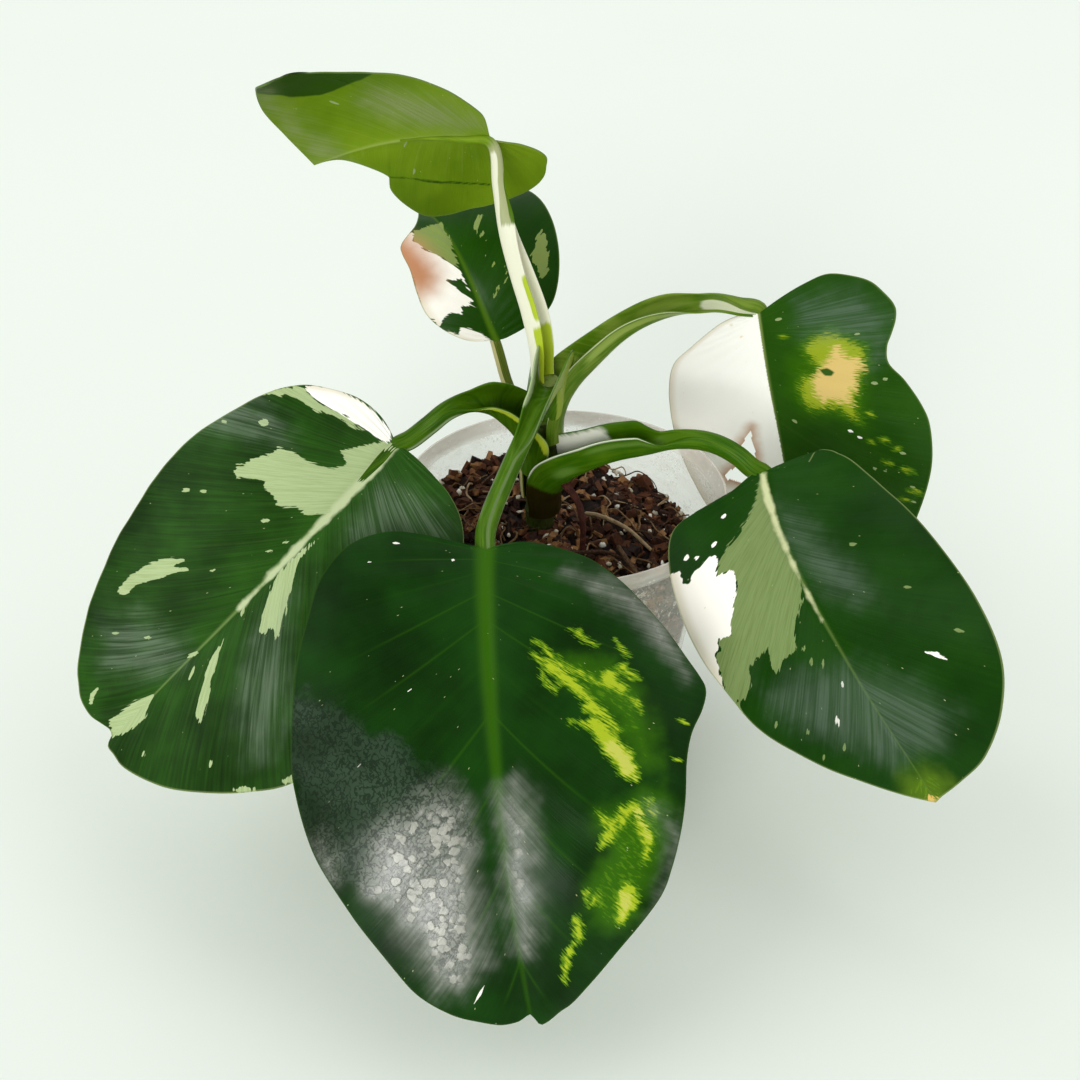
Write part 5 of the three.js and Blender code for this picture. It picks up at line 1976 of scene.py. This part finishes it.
MARKS_C = {
    Tone.SAGE: [
        [(2, 4), (0, 2), (0, 6), (-0.3, 13), (-0.3, 20), (-0.3, 27), (0, 33), (0, 40), (0.6, 45), (3, 51), (8, 56),
         (11, 62), (12, 64), (15, 64), (18, 65), (21, 67), (22, 67), (22, 64), (20, 61), (20, 58), (22, 60), (24, 60),
         (26, 60), (29, 62), (32, 67), (36, 68), (38, 67), (39, 72), (40, 68), (40, 63), (38, 58), (36, 52), (34, 52),
         (33, 49), (28, 50), (27, 47), (20, 38), (19, 34), (19, 32), (22, 32), (25, 32), (24, 30), (19, 25), (14, 22),
         (8, 16), (4, 10)],
    ],
    Tone.CREAM: [
        [(40, 25), (36, 26), (36, 30), (34, 30), (32, 28), (27, 26), (24, 25), (22, 26), (24, 30), (25, 32), (22, 32),
         (19, 32), (19, 34), (20, 38), (27, 47), (28, 50), (33, 49), (34, 52), (36, 52), (38, 58), (40, 63), (40, 68),
         (43, 56), (44, 46), (42, 33), (42, 29)],
        [(-24, 86), (-27, 88), (-29, 91), (-26, 89)],
        [(12, 88), (12, 90), (14, 92), (14, 89)],
    ],
    Tone.TAN: [[(1, 124), (-3, 126), (0, 128), (3, 127)]],
    Tone.GLOW: [[(5, 116), (-4, 114), (-10, 122), (0, 130), (8, 122)]],
    Tone.RUST: [
        [(1.4, 0), (-1, 1), (-1, 12), (-0.5, 30), (0, 48), (0.3, 60), (0.5, 60), (0.6, 48), (0.8, 30), (1.2, 12)],
    ],
    Tone.SHEEN: [
        [(-2, 12), (-11, 26), (-17, 48), (-20, 66), (-10, 62), (-2, 46), (1, 28)],
        [(30, 68), (14, 70), (-4, 78), (-18, 92), (-24, 104), (-12, 112), (7, 112), (22, 92), (32, 78)],
    ],
}

MARKS_D = {
    Tone.CREAM: [[(0, -10), (60, -10), (60, 130), (0, 130)]],
    Tone.TAN: [
        [(-24, 18), (-26, 13), (-30, 13), (-32, 18), (-36, 18), (-38, 22), (-38, 26), (-36, 26), (-34, 34), (-32, 34),
         (-32, 40), (-26, 38), (-22, 37), (-20, 38), (-17, 34), (-16, 30), (-17, 26), (-19, 23), (-21, 21)],
    ],
    Tone.LIME: [
        [(-16, 14), (-20, 10), (-26, 8), (-32, 11), (-38, 16), (-38, 22), (-34, 32), (-32, 40), (-33, 46), (-30, 44),
         (-26, 40), (-22, 39), (-16, 40), (-13, 36), (-12, 30), (-14, 26), (-19, 24), (-20, 22), (-18, 18)],
    ],
    Tone.DUSK: [[(-21, 23), (-24, 22.5), (-26.5, 24.5), (-25, 26), (-22.5, 25.5)], [(-37, 27), (-36, 30), (-38, 32)]],
    Tone.GLOW: [
        [(-10, 18), (-16, 12), (-26, 6), (-36, 10), (-40, 20), (-36, 36), (-34, 48), (-23, 43), (-13, 42), (-8, 34)],
    ],
    Tone.SHEEN: [
        [(-13, -6), (-24, -8), (-38, -7), (-48, 2), (-47, 15), (-33, 14), (-15, 10)],
        [(-39, 13), (-44, 10), (-48, 12), (-46, 22), (-40, 27), (-38, 22)],
    ],
}

MARKS_E = {
    Tone.SHEEN: [
        [(-24, 36), (-20, 26), (-16, 16), (-10, 6), (-4, 3), (-1, 10), (-3, 25), (-8, 36), (-16, 42)],
        [(-50, 67), (-25, 67), (-10, 61), (0, 58), (0, 54), (-6, 54), (-16, 58), (-26, 62)],
        [(-24, 67), (-12, 63), (-2, 59), (0, 54), (3, 48), (-4, 50), (-12, 56), (-22, 60)],
        [(-71, 67.5), (-18, 61), (-8, 55), (-0.5, 48.5), (-1, 57), (-5, 59.5), (-14, 64)],
    ],
    Tone.DUSK: [
        # The first outline is painted shade along the fold of the lower lobe; the second is the dark upper side of the
        # curled margin.
        [(14, 37), (19, 28), (26, 16), (30, 4), (30, -4), (29.1, -4), (29.1, 3.5), (25.1, 15.5), (18.1, 27.5)],
        [(-28, 35), (-26, 38), (-25, 42), (-23.5, 46), (-23.5, 50), (-25, 54), (-28, 58), (-34, 63), (-39, 67),
         (-56, 70), (-62, 60), (-45, 50), (-34, 40)],
    ],
}

MARKS_F = {
    Tone.SAGE: [
        [(-10, 52), (-6, 51), (-2, 50), (2, 50), (0, 47), (0, 44), (0, 40), (-1, 37), (-2, 32), (-2, 26), (-2, 29),
         (-4, 32), (-6, 36), (-8, 38), (-10, 42), (-12, 46), (-12, 48)],
        [(14, 45), (16, 44), (13, 42), (10, 40), (9, 40), (11, 43)],
        [(12, 38), (10, 38), (8, 36)],
        [(14, 24), (14, 22), (12, 20), (11, 18)],
        [(32, 30), (32, 28), (32, 26), (30, 22), (28, 17), (24, 14), (24, 17), (24, 20), (24, 24), (27, 26), (29, 29)],
    ],
    Tone.CREAM: [
        [(-10, 52), (-12, 52), (-16, 52), (-18, 48), (-18, 44), (-20, 39), (-18, 34), (-20, 30), (-20, 26), (-21, 20),
         (-20, 17), (-18, 16), (-18, 13), (-16, 14), (-14, 16), (-11, 16), (-9, 15), (-8, 14), (-7, 17), (-4, 16),
         (-2, 14), (-4, 17), (-2, 17), (-4, 20), (-6, 24), (-8, 27), (-8, 28), (-6, 27), (-3, 26), (-2, 21), (-2, 26),
         (-2, 29), (-4, 32), (-6, 36), (-10, 42), (-12, 48)],
        [(-18, 12), (-14, 10), (-12, 8), (-10, 10), (-7, 8), (-4, 5), (-1, 0), (-4, 2), (-8, 2), (-11, 4), (-14, 8),
         (-17, 10)],
    ],
    Tone.RUST: [
        [(-18, 54), (-13, 52), (-11, 46), (-10, 40), (-9, 35), (-10, 30), (-14, 26), (-20, 26), (-24, 34), (-24, 44),
         (-22, 52)],
    ],
}

MARKS = {"a": MARKS_A, "b": MARKS_B, "c": MARKS_C, "d": MARKS_D, "e": MARKS_E, "f": MARKS_F}

# Small flecks by tone: place in the flat leaf, half length along the veins and half width.

FLECKS = {
    "a": {
        Tone.CREAM: [
            (40, 66, 1, 0.5), (24, 46, 0.8, 0.45), (28, 0, 1, 0.45), (13.5, 135, 3.4, 0.4), (36, 6, 0.8, 0.45),
            (10, 5, 0.8, 0.45),
        ],
        Tone.LIME: [(-57, 62, 1.8, 0.6), (-54, 74, 1.6, 0.5)],
    },
    "b": {
        Tone.SAGE: [
            (38, 24, 1.8, 1.5), (-5, 102, 2.4, 0.7), (0, 98, 2.2, 0.7), (44, 60, 1.8, 0.8), (38, 56, 1.6, 0.7),
            (14, 50, 1.6, 0.7), (6, 57, 1.4, 0.6), (50, 32, 1.4, 0.7), (16, 106, 2, 0.7), (26, 115, 1.8, 0.7),
            (-2, 77, 1.8, 0.7), (16, 74, 1.4, 0.6), (-14, 130, 1.8, 0.8), (-33, 114, 1.4, 0.6), (4, 51, 1.4, 0.6),
        ],
    },
    "c": {
        Tone.SAGE: [
            (-29, 67, 1.6, 0.6), (-20, 43, 1.4, 0.6), (-36, 86, 1.6, 0.6), (32, 80, 1.6, 0.6), (24, 88, 1.6, 0.6),
            (24, 98, 1.6, 0.6), (16, 98, 1.6, 0.6), (10, 65, 1.4, 0.7), (10, 70, 1.6, 0.7), (7, 72, 1.6, 0.6),
        ],
        Tone.CREAM: [
            (5, 81, 0.9, 0.6), (22, 22, 1.4, 0.7), (16, 14, 1.2, 0.6), (32, 23, 1.4, 0.7), (29, 24, 1.2, 0.6),
        ],
    },
    "d": {
        Tone.CREAM: [(-29, 49, 1.2, 0.6), (-32, 52, 1.2, 0.6)],
        Tone.SAGE: [
            (-36, 65, 1.4, 0.6), (-40, 66, 1.2, 0.6), (-49, 74, 1.4, 0.6), (-49, 80, 1.4, 0.6), (-40, 31, 1.4, 0.7),
            (-44, 30, 1.2, 0.6), (-36, 10, 1.2, 0.6), (-8, 2, 1.4, 0.6), (-47, 60, 1.4, 0.6), (-8, 44, 1.4, 0.6),
        ],
        Tone.TAN: [(10, 3, 0.8, 0.6), (7, 8, 0.8, 0.6), (7, 18, 0.8, 0.6)],
        Tone.LIME: [
            (-41, 54, 1.8, 0.8), (-45, 58, 1.6, 0.8), (-41, 63, 1.6, 0.7), (-48, 67, 2.4, 1), (-37, 43, 1.6, 0.8),
            (-50, 76, 2.6, 1), (-46, 79, 1.8, 0.8), (-36, 54, 1.4, 0.7), (-9, 9, 1.4, 0.7),
        ],
    },
    "e": {
        Tone.SAGE: [(2, 28, 1.6, 0.5), (-19, 47, 1.6, 0.5), (16, 26, 1.6, 0.5)],
    },
    "f": {
        Tone.SAGE: [(8, 18, 1.2, 0.6), (6, 16, 1, 0.6), (10, 26, 1.2, 0.6), (36, 52, 1.6, 0.7), (22, 53, 1.4, 0.6)],
    },
}
D_TEAR = [(10, 46), (15, 52), (20, 62), (26, 67), (25, 70), (22, 70), (18, 72), (16, 70), (10, 60), (10, 50)]

# Stalk stripes. The streaks of light are painted highlights; on stalk e the same tone greys the upper stalk as painted
# shade.
STRIPES = {
    "a": (
        Stripe("pale", (-0.012, 0.006), (-0.1, 0.05)),
        Stripe("pale", (-0.09, 0.1), (0.04, 0.3)),
        Stripe("lime", (0.4, 0.62), (-0.1, 0.26)),
        Stripe("pale", (0.49, 0.51), (0.3, 1.1)),
        Stripe("painted_light", (0.64, 0.76), (0.15, 1.1), 0.05),
    ),
    "b": (
        Stripe("pale", (0.612, 0.64), (0.02, 0.47)),
        Stripe("lime", (0.58, 0.62), (0.1, 0.48)),
        Stripe("pale", (-0.012, 0.006), (-0.1, 0.47)),
        Stripe("painted_light", (0.52, 0.56), (0.47, 0.75)),
    ),
    "c": (
        Stripe("pale", (0.69, 0.78), (0.14, 0.38)),
        Stripe("pale", (-0.012, 0.006), (0.1, 0.5)),
        Stripe("painted_light", (0.08, 0.14), (0.16, 0.28)),
        Stripe("painted_light", (0.03, 0.06), (0.27, 0.5)),
        Stripe("scar", (-0.1, 1.1), (-0.3, 0.15)),
    ),
    "d": (
        Stripe("pale", (0.8, 0.9), (0.58, 0.95)),
        Stripe("pale", (0.62, 0.637), (0.02, 0.66)),
        Stripe("pale", (-0.012, 0.006), (0.02, 0.66)),
        Stripe("painted_light", (0.03, 0.1), (0.2, 0.6)),
    ),
    "e": (
        Stripe("pale", (-0.1, 1.1), (-0.1, 0.52)),
        Stripe("pale", (0.27, 0.42), (-0.1, 0.74)),
        Stripe("painted_light", (-0.1, 1.1), (0.45, 0.76)),
        Stripe("lime", (0.5, 0.94), (-0.1, 0.2)),
        Stripe("lime", (0.56, 0.74), (0.16, 0.36)),
        Stripe("scar", (0.56, 0.68), (0.46, 0.68)),
    ),
    "f": (Stripe("pale", (0.3, 0.62)), Stripe("scar", (0.4, 0.44), (0.5, 0.53))),
}


def build_leaves() -> None:
    """Builds the six blades."""
    finishes = {
        "a": LeafFinish(
            "waxy old leaf", "#061e01", "#164309", "#336103", veining=0.1, cells=0.9, sheen_cover=0.85, brushed=0.32,
            edge="#2c4a10", sheen="#85887e", lime="#9fb222", faint="#55800f", tan="#b9bd52", fray=6.0,
        ),
        "b": LeafFinish(
            "waxy striped leaf", "#122b06", "#2c5816", "#86a05a", veining=0.4, sage="#adbf8b", shaded_sage="#8ea36a",
            sheen="#8d9c88", sheen_cover=0.4, brushed=0.6, cream="#fffdf4", edge="#8a9a5e", rust="#bac799", blush=0.8,
        ),
        "c": LeafFinish(
            "waxy deep green leaf", "#0c2e02", "#1c4708", "#5f7a34", veining=0.15, sage="#7b8f57",
            shaded_sage="#5f743a", sheen="#647464", sheen_cover=0.5, brushed=0.4, glow="#4c6a12", cream="#fffaf0",
            edge="#8a9a5e", rust="#ccd09e", blush=0.8,
        ),
        "d": LeafFinish(
            "half white leaf", "#1c4206", "#2b5510", "#8f9f58", veining=0.25, cream="#fffdf6", sheen="#66786a",
            ragged=0.3, rust="#c8a184", soft=2.4, lime="#93a422", faint="#44700c", tan="#dcbe74", dusk="#33581a",
        ),
        "e": LeafFinish("tender new leaf", "#5c7c10", "#728f22", "#8fa348", veining=0.15, roughness=0.4),
        "f": LeafFinish(
            "waxy small leaf", "#123402", "#204806", "#4c7010", veining=0.2, sage="#7f9048", sheen="#4c5e3a",
            rust="#b8825e", blush=6.5,
        ),
    }
    under = LeafFinish("pale leaf underside", "#4a6a2c", "#64843c", "#7f9650", roughness=0.5)
    tender = LeafFinish(
        "tender leaf underside", "#55740a", "#78951a", "#a3b25c", veining=0.12, roughness=0.42, sheen_cover=0.75,
        sheen="#868f62", dusk="#2a4a08",
    )
    edge = LeafFinish("thin leaf edge", "#4f6a2a", "#647f3c", "#6d8040", roughness=0.5)
    puckers = {
        "a": Pucker(19.0, 0.14, 0.7, 0.0, 0.38, 5.0, 0.35),
        "b": Pucker(10.0, 0.12, 0.8, 0.3, 0.12, 1.8),
        "c": Pucker(15.0, 0.08, 0.6, 0.6, 0.1, 1.5),
        "d": Pucker(12.0, 0.08, 0.7, 0.1, 0.1, 1.6),
        "e": Pucker(9.0, 0.06, 0.4, 0.2, 0.2, 1.8),
        "f": Pucker(9.0, 0.06, 0.4, 0.4, 0.1, 2.0),
    }
    for key, form in LEAF_FORMS.items():
        small = key in "ef"
        Leaf(
            key,
            form,
            finishes[key],
            tender if key == "e" else under,
            edge,
            MARKS[key],
            FLECKS[key],
            puckers[key],
            tears=(D_TEAR,) if key == "d" else (),
            rows=110 if small else 170,
            columns=40 if small else 60,
            slot="young_blade" if key == "e" else "green_blade",
        ).build()


def build_stalks() -> None:
    """Builds the six stalks."""
    finishes = {
        "a": StalkFinish("green stalk", "#3a6006", "#527818", pale="#a2b384", painted_light="#647c48", lime="#94a83c"),
        "b": StalkFinish("broad winged stalk", "#2c4f02", "#426606", pale="#9fb066", painted_light="#93a878"),
        "c": StalkFinish("pale winged stalk", "#2f5a02", "#4a6e0c", pale="#e6e6d6", painted_light="#5c8030", scar="#2b2408"),
        "d": StalkFinish("long green stalk", "#4c700c", "#728a30", pale="#caceae", painted_light="#8ba048"),
        "e": StalkFinish(
            "cream stalk", "#5c7a0c", "#75921c", pale="#e4e3cb", painted_light="#a5aa7c", lime="#a9bd2c", scar="#4c6c08"
        ),
        "f": StalkFinish("thin two-tone stalk", "#4a5a12", "#5e6c1c", pale="#b0aa76"),
    }
    for key, form in STALK_FORMS.items():
        slot = "cream_stalk" if key == "e" else "green_stalk"
        Stalk(key, form, LEAF_FORMS[key], finishes[key], STRIPES[key], slot).build()


def main() -> None:
    """Builds the studio, then the pot with its mix and the plant, whose pieces are each logged."""
    logging.basicConfig(level=logging.INFO, format="%(name)s %(message)s")
    Studio(FloorFinish("pale painted floor", "#eff5ed")).build()
    sizes = PotSizes()
    Pot(sizes, ClearPlasticFinish("clear pot plastic")).build()
    PottingMix(
        sizes,
        FibreFinish("damp potting mix", "#080301", "#1c0d06", "#2c1a0e", (0.8, 0.8, 0.8)),
        FibreFinish("fir bark", "#1a0903", "#58301a", "#946a42", (0.9, 3.0, 0.9)),
        FibreFinish("perlite", "#c9bda6", "#e9e1cf", "#fbf8f0", (0.7, 0.7, 0.7), 0.9, 0.6),
        FibreFinish("coir fibre", "#2c170c", "#7a5c3c", "#a89070", (0.5, 2.0, 0.5)),
    ).build()
    stem = Stem(
        FibreFinish("old stem bark", "#1c2200", "#3c4a10", "#7c9040", (1.0, 1.0, 3.0), 0.6, 0.4),
        FibreFinish("corky root", "#2c100a", "#4c2014", "#6a3a26", (0.5, 0.5, 0.8), 0.8, 0.6),
    )
    stem.build_stem()
    stem.build_root()
    build_stalks()
    build_leaves()


if __name__ == "__main__":
    main()
